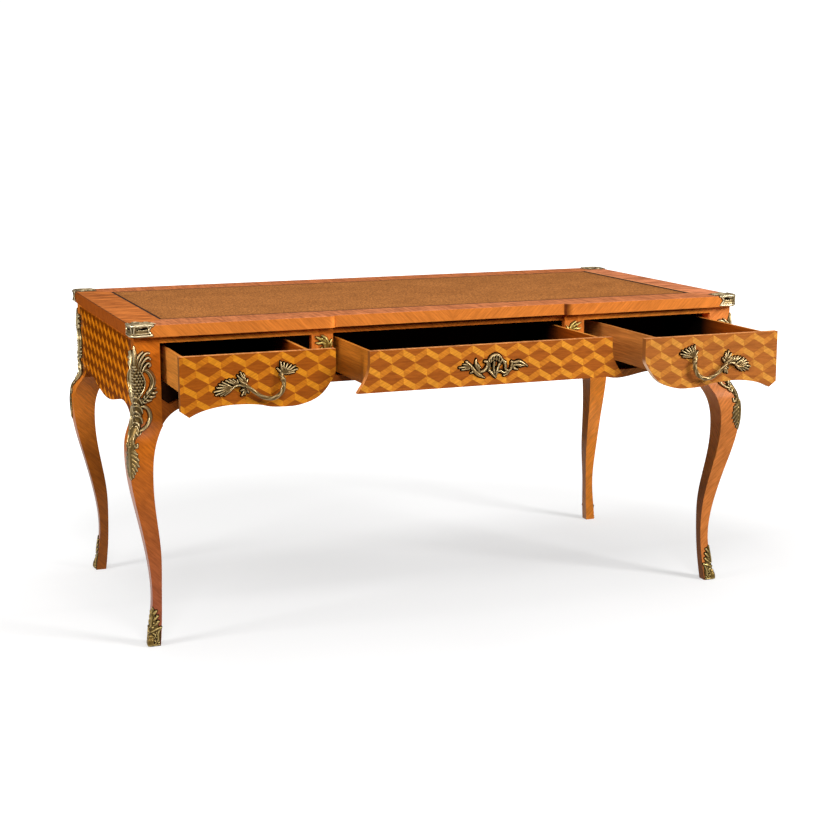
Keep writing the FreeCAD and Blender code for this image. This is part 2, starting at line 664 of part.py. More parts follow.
def drawer_ways():
    """Runners under the drawer sides, guides beside them and kickers above them, for each drawer."""
    rail_back = BOARD_BACK + LOWER_RAIL_THICKNESS
    middle_rail_back = MIDDLE_BACK + LOWER_RAIL_THICKNESS
    inner, outer = side_box_span()
    half = middle_box_half()
    low = RUNNER_TOP - RUNNER_HEIGHT
    guide_outer_edge = STILE_X - GUIDE_GAP
    runners = [
        block(inner - RUNNER_WIDTH / 2, inner + RUNNER_WIDTH / 2, rail_back, BACK_Y, low, RUNNER_TOP),
        block(outer - RUNNER_WIDTH / 2, guide_outer_edge, rail_back, BACK_Y, low, RUNNER_TOP),
        block(half - RUNNER_WIDTH / 2, PARTITION_IN, middle_rail_back, BACK_Y, low, RUNNER_TOP),
    ]
    guide_top = RUNNER_TOP + GUIDE_HEIGHT
    guides = [
        block(inner - RUNNER_WIDTH / 2, inner - GUIDE_GAP, rail_back, BACK_Y, RUNNER_TOP, guide_top),
        block(outer + GUIDE_GAP, guide_outer_edge, rail_back, BACK_Y, RUNNER_TOP, guide_top),
        block(half + GUIDE_GAP, PARTITION_IN, middle_rail_back, BACK_Y, RUNNER_TOP, guide_top),
    ]
    kicker_low = SIDE_TOP + KICKER_GAP
    kicker_front = FRONT_Y + TOP_RAIL_DEPTH
    kicker_back = BACK_Y - REAR_RAIL_DEPTH
    kickers = [
        block(edge, edge + KICKER_WIDTH, kicker_front, kicker_back, kicker_low, UNDER_TOP)
        for edge in (inner, outer - KICKER_WIDTH, half - KICKER_WIDTH)
    ]
    for name, right in (("drawer_runners", runners), ("drawer_guides", guides), ("drawer_kickers", kickers)):
        pieces[name] = Part.makeCompound(right + [mirror_x(bar) for bar in right])


def glue_blocks():
    """Three-cornered blocks in the angle between the top and the end panels."""
    corner = vector(END_X, 0, UNDER_TOP)
    section = Part.Face(Part.makePolygon([
        corner,
        vector(END_X - GLUE_BLOCK, 0, UNDER_TOP),
        vector(END_X, 0, UNDER_TOP - GLUE_BLOCK),
        corner,
    ]))
    prism = section.extrude(vector(0, GLUE_BLOCK_LENGTH, 0))
    right = []
    for place in (-1, 0, 1):
        copy = prism.copy()
        copy.translate(vector(0, place * (STILE_Y - GLUE_BLOCK_LENGTH) - GLUE_BLOCK_LENGTH / 2, 0))
        right.append(copy)
    return right + [mirror_x(copy) for copy in right]


def top_screws():
    """Countersunk screws up through both top rails into the top."""
    front_line = FRONT_Y + TOP_RAIL_DEPTH / 2 + BREAK_DEPTH / 2
    rear_line = BACK_Y - REAR_RAIL_DEPTH / 2
    screws = []
    for y in (front_line, rear_line):
        for step in range(-SCREWS_EACH_WAY, SCREWS_EACH_WAY + 1):
            foot = vector(step * SCREW_SPACING, y, OPENING_TOP)
            shank = Part.makeCylinder(SCREW_RADIUS, SCREW_LENGTH, foot)
            head = Part.makeCone(SCREW_HEAD_RADIUS, SCREW_RADIUS, SCREW_HEAD_RADIUS - SCREW_RADIUS, foot)
            screws.append(shank.fuse(head).removeSplitter())
    return screws


# Drawers

def side_drawer(open_by):
    """Right-hand drawer at its opening; returns its pieces by name."""
    inner, outer = side_box_span()
    front = board(side_front_outline(0), FRONT_Y, DRAWER_FRONT_THICKNESS)
    parts = drawer_box(inner, outer, FRONT_Y, front)
    centre = (STILE_X + POST_OUTER) / 2
    parts["handle"] = drawer_pull(centre)
    for shape in parts.values():
        shape.translate(vector(0, -open_by, 0))
    return parts


def middle_drawer(open_by):
    half = middle_box_half()
    front = board(middle_front_outline(0), MIDDLE_Y, DRAWER_FRONT_THICKNESS)
    parts = drawer_box(-half, half, MIDDLE_Y, front)
    parts["escutcheon"] = escutcheon()
    for shape in parts.values():
        shape.translate(vector(0, -open_by, 0))
    return parts


def drawer_box(low_x, high_x, face_y, front):
    """Two sides housed in the front, a back let into the sides, and a bottom in grooves all round."""
    start = face_y + DRAWER_FRONT_THICKNESS
    end = start + BOX_LENGTH
    floor = BOX_BOTTOM + BOTTOM_LIFT
    back_front = end - 2 * BOX_WALL
    back = block(low_x + BOX_WALL - GROOVE_DEPTH, high_x - BOX_WALL + GROOVE_DEPTH,
                 back_front, back_front + BOX_WALL, floor + BOTTOM_THICKNESS, SIDE_TOP - BACK_DROP)
    bottom = block(low_x + BOX_WALL - GROOVE_DEPTH, high_x - BOX_WALL + GROOVE_DEPTH,
                   start - GROOVE_DEPTH, back_front + BOX_WALL, floor, floor + BOTTOM_THICKNESS)
    sides = []
    for x in (low_x, high_x - BOX_WALL):
        wall = block(x, x + BOX_WALL, start, end, BOX_BOTTOM, SIDE_TOP)
        tongue = block(x, x + BOX_WALL, start - HOUSING_DEPTH, start, BOX_BOTTOM, SIDE_TOP - TENON_SHOULDER)
        side = wall.fuse(tongue).removeSplitter()
        front = front.cut(tongue)
        sides.append(side.cut(back).cut(bottom))
    return {
        "front": front.cut(bottom),
        "side_low": sides[0],
        "side_high": sides[1],
        "back": back,
        "bottom": bottom,
    }


# Foliate mounts on the drawers and posts

def lobed_edges(points):
    """Leafy outline through tips and notches, each joined to the next by an arc that bows outward."""
    middle = sum(points, vector(0, 0, 0)) * (1 / len(points))
    turn = sum((p - middle).cross(q - middle).y for p, q in zip(points, points[1:] + points[:1]))
    side = math.copysign(1, turn)
    edges = []
    for here, there in zip(points, points[1:] + points[:1]):
        along = there - here
        outward = vector(along.z, 0, -along.x) * (-side * LOBE_BOW)
        edges.append(Part.Arc(here, (here + there) * 0.5 + outward, there).toShape())
    return edges


def plate(points, centre, level, front, thickness):
    """Flat casting with a leafy outline, given as offsets and drops on the front."""
    outline = [vector(centre + x, 0, level - drop) for x, drop in points]
    return board(lobed_edges(outline), front, -thickness)


def boss(x, z, front, length):
    return Part.makeCylinder(HANDLE_BOSS_RADIUS, length, vector(x, front, z), vector(0, -1, 0))


def drawer_pull(centre):
    """Cast bow between two leaves, standing on two bosses."""
    points = [vector(centre + x, FRONT_Y - out, DRAWER_TOP - drop) for x, drop, out in PULL_PATH]
    rings = []
    for index, radius in enumerate(PULL_RADII):
        before = points[max(index - 1, 0)]
        after = points[min(index + 1, len(points) - 1)]
        ring = Part.Circle(points[index], after - before, radius)
        rings.append(Part.Wire(ring.toShape()))
    bow = Part.makeLoft(rings, True)
    base = FRONT_Y - HANDLE_LEAF_STANDOFF
    leaves = [
        plate(PULL_OUTER_LEAF, centre, DRAWER_TOP, base, HANDLE_LEAF_THICKNESS),
        plate(PULL_INNER_LEAF, centre, DRAWER_TOP, base, HANDLE_LEAF_THICKNESS),
    ]
    feet = [boss(point.x, point.z, FRONT_Y, FRONT_Y - point.y) for point in (points[0], points[-1])]
    return fused([bow] + leaves + feet)


def escutcheon():
    shape = plate(ESCUTCHEON, 0, DRAWER_TOP, MIDDLE_Y, ESCUTCHEON_THICKNESS)
    for x, drop, radius in ESCUTCHEON_EYES:
        eye = vector(x, MIDDLE_Y, DRAWER_TOP - drop)
        shape = shape.cut(Part.makeCylinder(radius, ESCUTCHEON_THICKNESS, eye, vector(0, -1, 0)))
    return shape


def post_leaf():
    centre = MIDDLE_HALF_OPENING + POST_WIDTH / 2
    return plate(POST_LEAF, centre, OPENING_TOP, FRONT_Y, LEAF_THICKNESS)


# Assembly

pieces = {}


def four_corners(name, right_front):
    """The same piece at all four corners, mirrored to each."""
    left_front = mirror_x(right_front)
    pieces[name + "_front_right"] = right_front
    pieces[name + "_front_left"] = left_front
    pieces[name + "_rear_right"] = mirror_y(right_front)
    pieces[name + "_rear_left"] = mirror_y(left_front)


def without(shape, tools):
    return shape.cut(Part.makeCompound(tools))


def assemble():
    top = writing_top()
    carcase_front()
    lower_rails()
    front_rail, rear_rail = top_rails()
    screws = top_screws()
    pieces["front_top_rail"] = without(front_rail, screws)
    pieces["rear_top_rail"] = without(rear_rail, screws)
    pieces["top_panel"] = without(top, screws)
    pieces["top_screws"] = Part.makeCompound(screws)
    pieces["end_panel_right"] = end_panel()
    pieces["end_panel_left"] = mirror_x(pieces["end_panel_right"])
    pieces["back_panel"] = back_panel()
    pieces["partition_right"] = partition()
    pieces["partition_left"] = mirror_x(pieces["partition_right"])
    drawer_ways()
    pieces["glue_blocks"] = Part.makeCompound(glue_blocks())

    leg = sawn_leg()
    tongued = ("apron_right", "lower_rail_right", "front_top_rail", "end_panel_right")
    tongues = [pieces[name] for name in tongued]
    pieces["leg_front_right"] = without(leg, tongues)
    pieces["leg_front_left"] = mirror_x(pieces["leg_front_right"])
    rear_tongues = [pieces["back_panel"], pieces["end_panel_right"]]
    pieces["leg_rear_right"] = without(mirror_y(leg), rear_tongues)
    pieces["leg_rear_left"] = mirror_x(pieces["leg_rear_right"])

    four_corners("knee_mount", knee_mount(leg))
    four_corners("sabot", sabot(leg))
    four_corners("corner_cap", corner_cap())
    pieces["post_leaf_right"] = post_leaf()
    pieces["post_leaf_left"] = mirror_x(pieces["post_leaf_right"])

    sides = {"side_low": "side_inner", "side_high": "side_outer"}
    for part, shape in side_drawer(RIGHT_OPEN).items():
        pieces["right_drawer_" + sides.get(part, part)] = shape
    for part, shape in side_drawer(LEFT_OPEN).items():
        pieces["left_drawer_" + sides.get(part, part)] = mirror_x(shape)
    sides = {"side_low": "side_left", "side_high": "side_right"}
    for part, shape in middle_drawer(MIDDLE_OPEN).items():
        pieces["middle_drawer_" + sides.get(part, part)] = shape


def export():
    os.makedirs("parts", exist_ok=True)
    for name, shape in pieces.items():
        shape.exportStep("parts/" + name + ".step")
        print(name, len(shape.Solids), shape.isValid(), round(shape.Volume))


assemble()
export()
print(len(pieces), "nodes")
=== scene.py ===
import math
from functools import partialmethod

import bpy
import numpy as np
from mathutils import Matrix, Vector


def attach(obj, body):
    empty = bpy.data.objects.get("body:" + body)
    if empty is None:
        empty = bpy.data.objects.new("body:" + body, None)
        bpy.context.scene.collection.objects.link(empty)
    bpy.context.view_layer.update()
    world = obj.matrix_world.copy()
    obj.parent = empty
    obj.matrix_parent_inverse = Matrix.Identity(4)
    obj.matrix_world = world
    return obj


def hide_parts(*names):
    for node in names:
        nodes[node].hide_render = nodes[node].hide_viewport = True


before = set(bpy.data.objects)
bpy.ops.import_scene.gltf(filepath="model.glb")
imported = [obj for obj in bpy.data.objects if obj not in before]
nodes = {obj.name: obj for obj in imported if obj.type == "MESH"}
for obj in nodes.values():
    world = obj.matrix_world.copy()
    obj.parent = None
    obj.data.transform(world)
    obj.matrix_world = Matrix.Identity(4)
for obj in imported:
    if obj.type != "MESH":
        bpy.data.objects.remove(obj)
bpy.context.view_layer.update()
scene = bpy.context.scene

# Sizes of the desk in metres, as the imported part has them
HALF_X = 0.7905
FRONT_Y = -0.385
MIDDLE_Y = -0.372
HEIGHT = 0.780
DRAWER_TOP = 0.728
OPENED = {"left_drawer": 0.190, "middle_drawer": 0.277, "right_drawer": 0.323}

# The cast mounts are drawn in millimetres
MM = 1000


def rgb(red, green, blue):
    """A display colour in 0-255 as linear values."""
    def one(value):
        value /= 255.0
        return value / 12.92 if value <= 0.04045 else ((value + 0.055) / 1.055) ** 2.4
    return (one(red), one(green), one(blue), 1.0)


# Node trees

class Graph:
    """A node tree with short calls for the nodes used here."""

    def __init__(self, owner, output):
        owner.use_nodes = True
        self.tree = owner.node_tree
        self.tree.nodes.clear()
        self.output = self.add(output)

    def add(self, kind, **settings):
        node = self.tree.nodes.new(kind)
        for key, value in settings.items():
            setattr(node, key, value)
        return node

    def link(self, source, target):
        self.tree.links.new(source, target)

    def put(self, socket, value):
        if isinstance(value, bpy.types.NodeSocket):
            self.link(value, socket)
        else:
            socket.default_value = value

    def named(self, node, **values):
        """The node with inputs set or linked by name."""
        for key, value in values.items():
            self.put(node.inputs[key.replace("_", " ")], value)
        return node

    def fill(self, node, *values):
        """The first of the node's inputs in use set or linked, and its first output in use."""
        for socket, value in zip([socket for socket in node.inputs if socket.enabled], values):
            self.put(socket, value)
        return next(socket for socket in node.outputs if socket.enabled)

    def math(self, operation, *values):
        return self.fill(self.add("ShaderNodeMath", operation=operation), *values)

    plus = partialmethod(math, "ADD")
    minus = partialmethod(math, "SUBTRACT")
    times = partialmethod(math, "MULTIPLY")
    size = partialmethod(math, "ABSOLUTE")

    # 1 where the first value is above or below the second, 0 elsewhere
    over = partialmethod(math, "GREATER_THAN")
    under = partialmethod(math, "LESS_THAN")

    def mix(self, factor, a, b, blend="MIX"):
        """Colour a where the factor is 0, b where it is 1."""
        return self.fill(self.add("ShaderNodeMix", data_type="RGBA", blend_type=blend), factor, a, b)

    def toned(self, colour, shade):
        """The colour multiplied by a shade, channel by channel."""
        return self.mix(1.0, colour, shade, "MULTIPLY")

    def blend(self, factor, a, b):
        """Number a where the factor is 0, b where it is 1."""
        return self.fill(self.add("ShaderNodeMix", data_type="FLOAT"), factor, a, b)

    def pick(self, factor, a, b):
        """Shader a where the factor is 0, b where it is 1."""
        return self.fill(self.add("ShaderNodeMixShader"), factor, a, b)

    def join(self, x, y, z):
        return self.fill(self.add("ShaderNodeCombineXYZ"), x, y, z)

    def ramp(self, value, low, high):
        """0 at low, 1 at high, straight between and level beyond; low may be the greater."""
        node = self.add("ShaderNodeMapRange", clamp=True)
        return self.named(node, Value=value, From_Min=low, From_Max=high).outputs[0]

    def parts(self, vector):
        node = self.add("ShaderNodeSeparateXYZ")
        self.link(vector, node.inputs[0])
        return node.outputs

    def mapped(self, vector, scale, turn=(0, 0, 0)):
        """The place turned, then scaled along its own axes."""
        turned = self.named(self.add("ShaderNodeMapping"), Vector=vector, Rotation=turn).outputs[0]
        return self.fill(self.add("ShaderNodeVectorMath", operation="MULTIPLY"), turned, scale)

    def noise(self, vector, scale=1.0, detail=2.0, rough=0.55, distort=0.0):
        return self.named(self.add("ShaderNodeTexNoise"), Vector=vector, Scale=scale, Detail=detail,
                          Roughness=rough, Distortion=distort).outputs[0]


class Look(Graph):
    """A material with one principled shader, its place and its normal."""

    def __init__(self, name):
        self.material = bpy.data.materials.new(name)
        super().__init__(self.material, "ShaderNodeOutputMaterial")
        self.shader = self.add("ShaderNodeBsdfPrincipled")
        self.link(self.shader.outputs[0], self.output.inputs["Surface"])
        self.place = self.add("ShaderNodeTexCoord").outputs["Object"]
        self.axes = self.parts(self.place)
        self.normal = self.parts(self.add("ShaderNodeNewGeometry").outputs["Normal"])

    def set(self, **values):
        self.named(self.shader, **values)

    def bump(self, height, strength, distance):
        node = self.named(self.add("ShaderNodeBump"), Strength=strength, Distance=distance, Height=height)
        self.set(Normal=node.outputs[0])


# Wood: a face belongs to an axis where its normal's share along that axis passes FACING
FACING = 0.7
COAT_SHARE = 0.3
QUARTER = math.radians(90)
SLANT = (0, -QUARTER / 2, 0)
ALONG_X = (0, QUARTER, 0)
ALONG_Y = (QUARTER, 0, 0)
ALONG_Z = (0, 0, 0)


def grain(look, turn, along, across):
    """Streaks of a veneer: fine pores on broader bands, running along the turned Z axis."""
    place = slant_place(look) if turn == SLANT else look.place
    fine = look.mapped(place, (across * 1.6, across * 1.6, along * 2), turn)
    broad = look.mapped(place, (across * 0.4, across * 0.4, along), turn)
    fine = look.noise(fine, detail=4.0, rough=0.7)
    broad = look.noise(broad, rough=0.5, distort=0.6)
    return look.plus(look.times(fine, 0.7), look.times(broad, 0.3))


def slant_place(look):
    """Width and height on the upright faces, the same on either side of the middle."""
    x, y, z = look.axes
    on_end = look.over(look.size(look.normal[0]), FACING)
    return look.join(look.blend(on_end, look.size(x), y), 0.0, z)


def tinted(look, base, streak, strength):
    """The base colour made lighter and darker by the streaks."""
    dark = look.toned(base, (0.50, 0.42, 0.34, 1))
    light = look.toned(base, (1.34, 1.34, 1.30, 1))
    return look.mix(strength, base, look.mix(look.ramp(streak, 0.40, 0.60), dark, light))


def lacquer(look, colour, streak, gloss, rough=0.36):
    """Finish of the wood: gloss is a number, or a socket where it changes over the piece."""
    coat = look.times(gloss, COAT_SHARE) if isinstance(gloss, bpy.types.NodeSocket) else COAT_SHARE * gloss
    look.set(Base_Color=colour, Roughness=rough, IOR=1.5, Coat_Weight=coat, Coat_Roughness=0.2,
             Specular_IOR_Level=gloss)
    look.bump(streak, strength=0.06, distance=0.0005)
    return look.material


# Parquetry: half width and half height of a lozenge, height of the sides below it, in metres
TILE_HALF = 0.0285
TILE_RISE = 0.0167
TILE_SIDE = 0.0159
TILE_JOINT = 0.0009

# Tones of a lozenge and of its two sides. The three drawers' sets are copies of one parquetry toned apart
# as painted light: the right one softer, the left one less blue
FRONT_TONES = rgb(152, 80, 22), rgb(210, 136, 40), rgb(192, 115, 32)
SOFT_TONES = rgb(157, 90, 36), rgb(197, 132, 53), rgb(181, 112, 43)
LEFT_TONES = rgb(149, 76, 13), rgb(205, 128, 26), rgb(188, 109, 20)
END_TONES = rgb(126, 60, 4), rgb(184, 96, 8), rgb(242, 142, 18)


def cube_pattern(look, across, up, shift, tones):
    """Tumbling blocks: dark lozenges with a light and a middling side below each."""
    row = TILE_RISE + TILE_SIDE
    u = look.math("DIVIDE", look.minus(across, shift[0]), TILE_HALF)
    odd = look.math("FLOORED_MODULO", look.math("FLOOR", u), 2.0)
    t = look.math("PINGPONG", u, 1.0)
    v = look.minus(up, shift[1] - row)
    w = look.minus(look.math("FLOORED_MODULO", v, 2 * row), row)
    size = look.size(w)
    lower = look.times(look.minus(1.0, t), TILE_RISE)
    upper = look.minus(row, look.times(t, TILE_RISE))
    inside = look.math("MAXIMUM", look.minus(lower, size), look.minus(size, upper))
    lozenge = look.over(inside, 0.0)
    flip = look.size(look.minus(look.over(w, 0.0), odd))
    diamond, light, medium = tones
    tone = look.mix(lozenge, look.mix(flip, medium, light), diamond)
    return tone, lozenge, flip, inside


def cubes(look, plane, shift, tones):
    """The parquetry on the front or end plane with joints and grain, and the grain alone."""
    x, y, z = look.axes
    across, axis = (x, (0, 1, 0)) if plane == "front" else (y, (1, 0, 0))
    tone, lozenge, flip, inside = cube_pattern(look, across, z, shift, tones)

    def boards(degrees):
        return grain(look, tuple(math.radians(degrees) * a for a in axis), along=14, across=200)

    streak = look.blend(lozenge, look.blend(flip, boards(60), boards(-60)), boards(90))
    joint = look.ramp(look.size(inside), 0.0, TILE_JOINT)
    tone = look.mix(joint, look.toned(tone, (0.72, 0.66, 0.6, 1)), tone)
    return tinted(look, tone, streak, 0.42), streak


def slant_veneer(look, colour, strength=0.95):
    """Plain veneer with a diagonal grain."""
    streak = grain(look, SLANT, along=14, across=140)
    return tinted(look, colour, streak, strength)


FRONT_EDGE = rgb(214, 140, 78)
# Upright edges are darker as painted shade, downward edges pale as a painted reflection of the floor
UPRIGHT_EDGE_SHADE = rgb(142, 84, 36)
UNDER_EDGE_REFLECTION = rgb(252, 204, 158)


def front_material(name, centre, tones):
    """Drawer front: parquetry on its face, plain edges in three tones: their own on top, darker where
    upright as painted shade, pale where facing down as a painted reflection of the floor.
    """
    look = Look(name)
    nx, ny, nz = look.normal
    pattern, streak = cubes(look, "front", centre, tones)
    edge = slant_veneer(look, FRONT_EDGE)
    edge = look.mix(look.ramp(look.size(nz), 0.2, 0.55), UPRIGHT_EDGE_SHADE, edge)
    edge = look.mix(look.ramp(nz, -0.1, -0.45), edge, UNDER_EDGE_REFLECTION)
    face = look.over(look.times(ny, -1.0), FACING)
    return lacquer(look, look.mix(face, edge, pattern), streak, gloss=0.15)


def panel_material(name, plane, shift, band, plain, tones, gloss):
    """Panel: parquetry below the level of its plain top band, plain edges."""
    look = Look(name)
    nx, ny, nz = look.normal
    pattern, streak = cubes(look, plane, shift, tones)
    face = look.over(look.size(ny if plane == "front" else nx), FACING)
    face = look.times(face, look.under(look.axes[2], band))
    return lacquer(look, look.mix(face, slant_veneer(look, plain), pattern), streak, gloss)


# The end panels' pattern runs on over the legs' stiles, to a dark line
END_SHIFT = (0.0194, 0.737)
END_BAND = 0.7405
STILE_FOOT = 0.553
STILE_LINE = 0.342
LINE_HALF = 0.004
END_EDGE = rgb(186, 95, 25)
STILE_LINE_TONE = rgb(70, 34, 8)


def leg_material(name, plain, gloss, foot=None, fade=None, inner=None, side_gloss=None):
    """Leg: plain veneer with painted light and shade towards the foot and on the inner side, parquetry on
    the stile's end.
    """
    look = Look(name)
    x, y, z = look.axes
    nx, ny, nz = look.normal
    pattern, streak = cubes(look, "end", END_SHIFT, END_TONES)
    veneer = slant_veneer(look, plain, 0.5)
    # Painted shade towards the foot; a factor above 1 in a channel paints a sheen
    if foot:
        shade = look.mix(look.ramp(z, *fade), (*foot, 1), (1, 1, 1, 1))
        veneer = look.toned(veneer, shade)
    # Painted light and shade on the face towards -x: darker low, lighter high
    if inner:
        low, high = inner
        shade = look.mix(look.ramp(z, 0.26, 0.42), (low, low, low, 1), (high, high, high, 1))
        veneer = look.mix(look.ramp(nx, -0.3, -0.7), veneer, look.toned(veneer, shade))
    face = look.over(look.size(nx), FACING)
    face = look.times(face, look.under(z, END_BAND))
    face = look.times(face, look.over(z, STILE_FOOT))
    past = look.minus(look.size(y), STILE_LINE)
    line = look.times(face, look.under(look.size(past), LINE_HALF))
    veneer = look.mix(line, veneer, STILE_LINE_TONE)
    face = look.times(face, look.under(past, -LINE_HALF))
    if side_gloss:
        gloss = look.blend(look.ramp(look.size(nx), 0.4, 0.8), gloss, side_gloss)
    return lacquer(look, look.mix(face, veneer, pattern), streak, gloss)


# The middle bay of the front, where the rail lies in more shade
BAY_HALF = 0.345


def veneer_material(name, colour, turn, along=7.0, across=150.0, rough=0.36, gloss=0.2, bay=None):
    """Plain veneer, multiplied by the bay's shade between the side drawers."""
    look = Look(name)
    streak = grain(look, turn, along, across)
    tone = tinted(look, colour, streak, 0.6)
    if bay:
        inside = look.under(look.size(look.axes[0]), BAY_HALF)
        tone = look.mix(inside, tone, look.toned(tone, bay))
    return lacquer(look, tone, streak, gloss, rough)


# Top: tones of the border's four sides and of its edge, lines round the leather and on the arris. The right
# end's lighter, pinker tone is a painted sheen; the glint is a painted highlight and the inlay's shade a
# painted shade
BORDER_FRONT = rgb(187, 112, 68)
BORDER_REAR = rgb(190, 110, 62)
BORDER_LEFT = rgb(192, 110, 48)
BORDER_RIGHT_SHEEN = rgb(207, 128, 87)
EDGE_LONG = rgb(205, 118, 45)
EDGE_END = rgb(163, 81, 20)
GLINT = rgb(226, 146, 92)
ARRIS_TONE = rgb(60, 26, 10)
INLAY_SHADE = rgb(40, 20, 10)
MITRE = 0.4
ARRIS_LINE = (0.7972, 0.7980)
GLINT_END = (0.7230, 0.7210)
SHADE_END = (0.7155, 0.7145)
BREAK_REACH = 0.74


def top_material():
    """Crossbanded border, diagonal veneer on the edge, a dark line on the arris, painted light on the right
    end and on the breakfront's corners.
    """
    look = Look("top_veneer")
    x, y, z = look.axes
    nx, ny, nz = look.normal
    side = look.size(x)
    ends = look.over(look.minus(side, MITRE), look.size(y))
    long_sides = grain(look, ALONG_Y, along=9, across=90)
    flat = look.blend(ends, long_sides, grain(look, ALONG_X, along=7, across=48))
    base = look.mix(look.ramp(y, 0.22, 0.32), BORDER_FRONT, BORDER_REAR)
    base = look.mix(ends, base, look.mix(look.ramp(x, 0.5, 0.6), BORDER_LEFT, BORDER_RIGHT_SHEEN))
    top = tinted(look, base, flat, look.plus(0.65, look.times(ends, 0.35)))
    top = look.mix(look.times(look.ramp(side, *ARRIS_LINE), 0.75), top, ARRIS_TONE)
    # On the right end only: a painted highlight on the border and a painted shade beside the leather
    right = look.times(ends, look.over(x, 0.7))
    top = look.mix(look.times(right, look.ramp(x, *GLINT_END)), top, GLINT)
    top = look.mix(look.times(right, look.ramp(x, *SHADE_END)), top, INLAY_SHADE)
    slant = grain(look, SLANT, along=9, across=160)
    edge = look.mix(look.over(look.size(nx), FACING), EDGE_LONG, EDGE_END)
    edge = tinted(look, edge, slant, 0.42)
    # Painted light on the breakfront's turned corners: darker where the edge turns to the left, lighter
    # where it turns to the right
    turn = look.mix(look.ramp(nx, -0.6, 0.6), (0.4, 0.36, 0.3, 1), (1.6, 1.64, 1.7, 1))
    edge = look.mix(look.under(side, BREAK_REACH), edge, look.toned(edge, turn))
    return lacquer(look, look.mix(look.over(nz, 0.6), edge, top), slant, gloss=0.07, rough=0.55)


def vertices(name):
    return np.array([vertex.co for vertex in nodes[name].data.vertices])


hide = vertices("leather_inset")
LEATHER_X = float(hide[:, 0].max())
LEATHER_Y = float(np.ptp(hide[:, 1]) / 2)
LEATHER_MID = float(hide[:, 1].max()) - LEATHER_Y
RIGHT_SHADE = 0.004


def leather_material():
    """Tan hide: pores, specks and clouds, with painted shade where it meets the inlay, widest on the right.
    """
    look = Look("leather")
    x, y, z = look.axes
    pores = look.named(look.add("ShaderNodeTexVoronoi", feature="F1"), Vector=look.place, Scale=420.0)
    cloud = look.noise(look.place, scale=9.0, detail=4.0, rough=0.6)
    speck = look.noise(look.mapped(look.place, (290.0, 84.0, 290.0)), detail=4.0, rough=0.75)
    base = look.mix(look.ramp(cloud, 0.3, 0.7), rgb(150, 92, 42), rgb(168, 106, 52))
    dark = look.toned(base, (0.62, 0.60, 0.56, 1))
    light = look.toned(base, (1.38, 1.38, 1.36, 1))
    colour = look.mix(look.ramp(speck, 0.40, 0.60), dark, light)
    side = look.plus(look.size(x), look.times(look.over(x, 0.0), RIGHT_SHADE))
    depth = look.size(look.minus(y, LEATHER_MID))
    reach = look.math("MAXIMUM", look.minus(side, LEATHER_X), look.minus(depth, LEATHER_Y))
    # Painted shade along the hide's edge: a soft darkening, then a dark line; on the right both reach
    # further in
    colour = look.mix(look.times(look.ramp(reach, -0.03, -0.003), 0.22), colour, rgb(90, 52, 18))
    colour = look.mix(look.ramp(reach, -0.0045, -0.0035), colour, INLAY_SHADE)
    look.set(Base_Color=colour, Roughness=0.7, Specular_IOR_Level=0.1)
    look.bump(pores.outputs["Distance"], strength=0.25, distance=0.0004)
    return look.material


# Brass, by height: where the hollows' brown (patina and painted shade) ends, the raised parts brighten as a
# painted highlight, the pits' black painted shadow ends
HOLLOW_RANGE = (-1.3, 0.25)
RAISED_RANGE = (0.25, 1.2)
PIT_RANGE = (-2.6, -1.6)


def brass_material(name, mid, high):
    """Gilt brass: a painted highlight on the raised parts, brown in the hollows as patina and painted
    shade, black painted shadow in the deepest.
    """
    look = Look(name)
    cloud = look.noise(look.place, scale=90.0, detail=3.0, rough=0.6)
    proud = look.add("ShaderNodeAttribute", attribute_name="proud").outputs["Fac"]
    colour = look.mix(look.ramp(proud, *HOLLOW_RANGE), rgb(34, 22, 7), mid)
    colour = look.mix(look.ramp(proud, *RAISED_RANGE), colour, high)
    colour = look.mix(look.times(cloud, 0.3), colour, rgb(126, 104, 60))
    metal = look.ramp(proud, *PIT_RANGE)
    colour = look.mix(metal, rgb(10, 6, 3), colour)
    look.set(Base_Color=colour, Metallic=look.times(metal, 0.72), Specular_IOR_Level=look.times(metal, 0.5),
             Roughness=look.plus(0.24, look.times(cloud, 0.24)))
    return look.material


def steel_material():
    look = Look("screw_steel")
    fine = look.noise(look.place, scale=800.0)
    colour = look.mix(fine, (0.42, 0.42, 0.42, 1), (0.6, 0.6, 0.6, 1))
    look.set(Base_Color=colour, Metallic=1.0, Roughness=0.35)
    return look.material


# Painted shade inside the drawers: tones near the front and far from it, depths at which far and dark set
# in
SHADE_NEAR = (0.60, 0.36, 0.16, 1)
SHADE_FAR = (0.50, 0.25, 0.08, 1)
FAR_DEPTHS = (0.03, 0.2)
DARK_DEPTHS = (0.17, 0.33)


def lining_material(name, inward, front, wood):
    """Drawer side: plain wood outside and on top, with painted shade inside that darkens away from the
    front.
    """
    look = Look(name)
    streak = grain(look, ALONG_Y, along=5, across=150)
    colour = tinted(look, wood, streak, 0.55)
    inside = look.over(look.times(look.normal[0], inward), FACING)
    y = look.axes[1]
    near, far = look.toned(colour, SHADE_NEAR), look.toned(colour, SHADE_FAR)
    shaded = look.mix(look.ramp(y, *[front + depth for depth in FAR_DEPTHS]), near, far)
    shaded = look.mix(look.ramp(y, *[front + depth for depth in DARK_DEPTHS]), shaded, rgb(12, 6, 3))
    return lacquer(look, look.mix(inside, colour, shaded), streak, gloss=0.08, rough=0.42)


def dress(names, material):
    for name in names:
        node = nodes[name]
        node.data.materials.clear()
        node.data.materials.append(material)
        for polygon in node.data.polygons:
            polygon.material_index = 0


def starting(*starts):
    return [name for name in nodes if name.startswith(starts)]


ORANGE = rgb(188, 103, 36)
LINING = rgb(206, 131, 55)
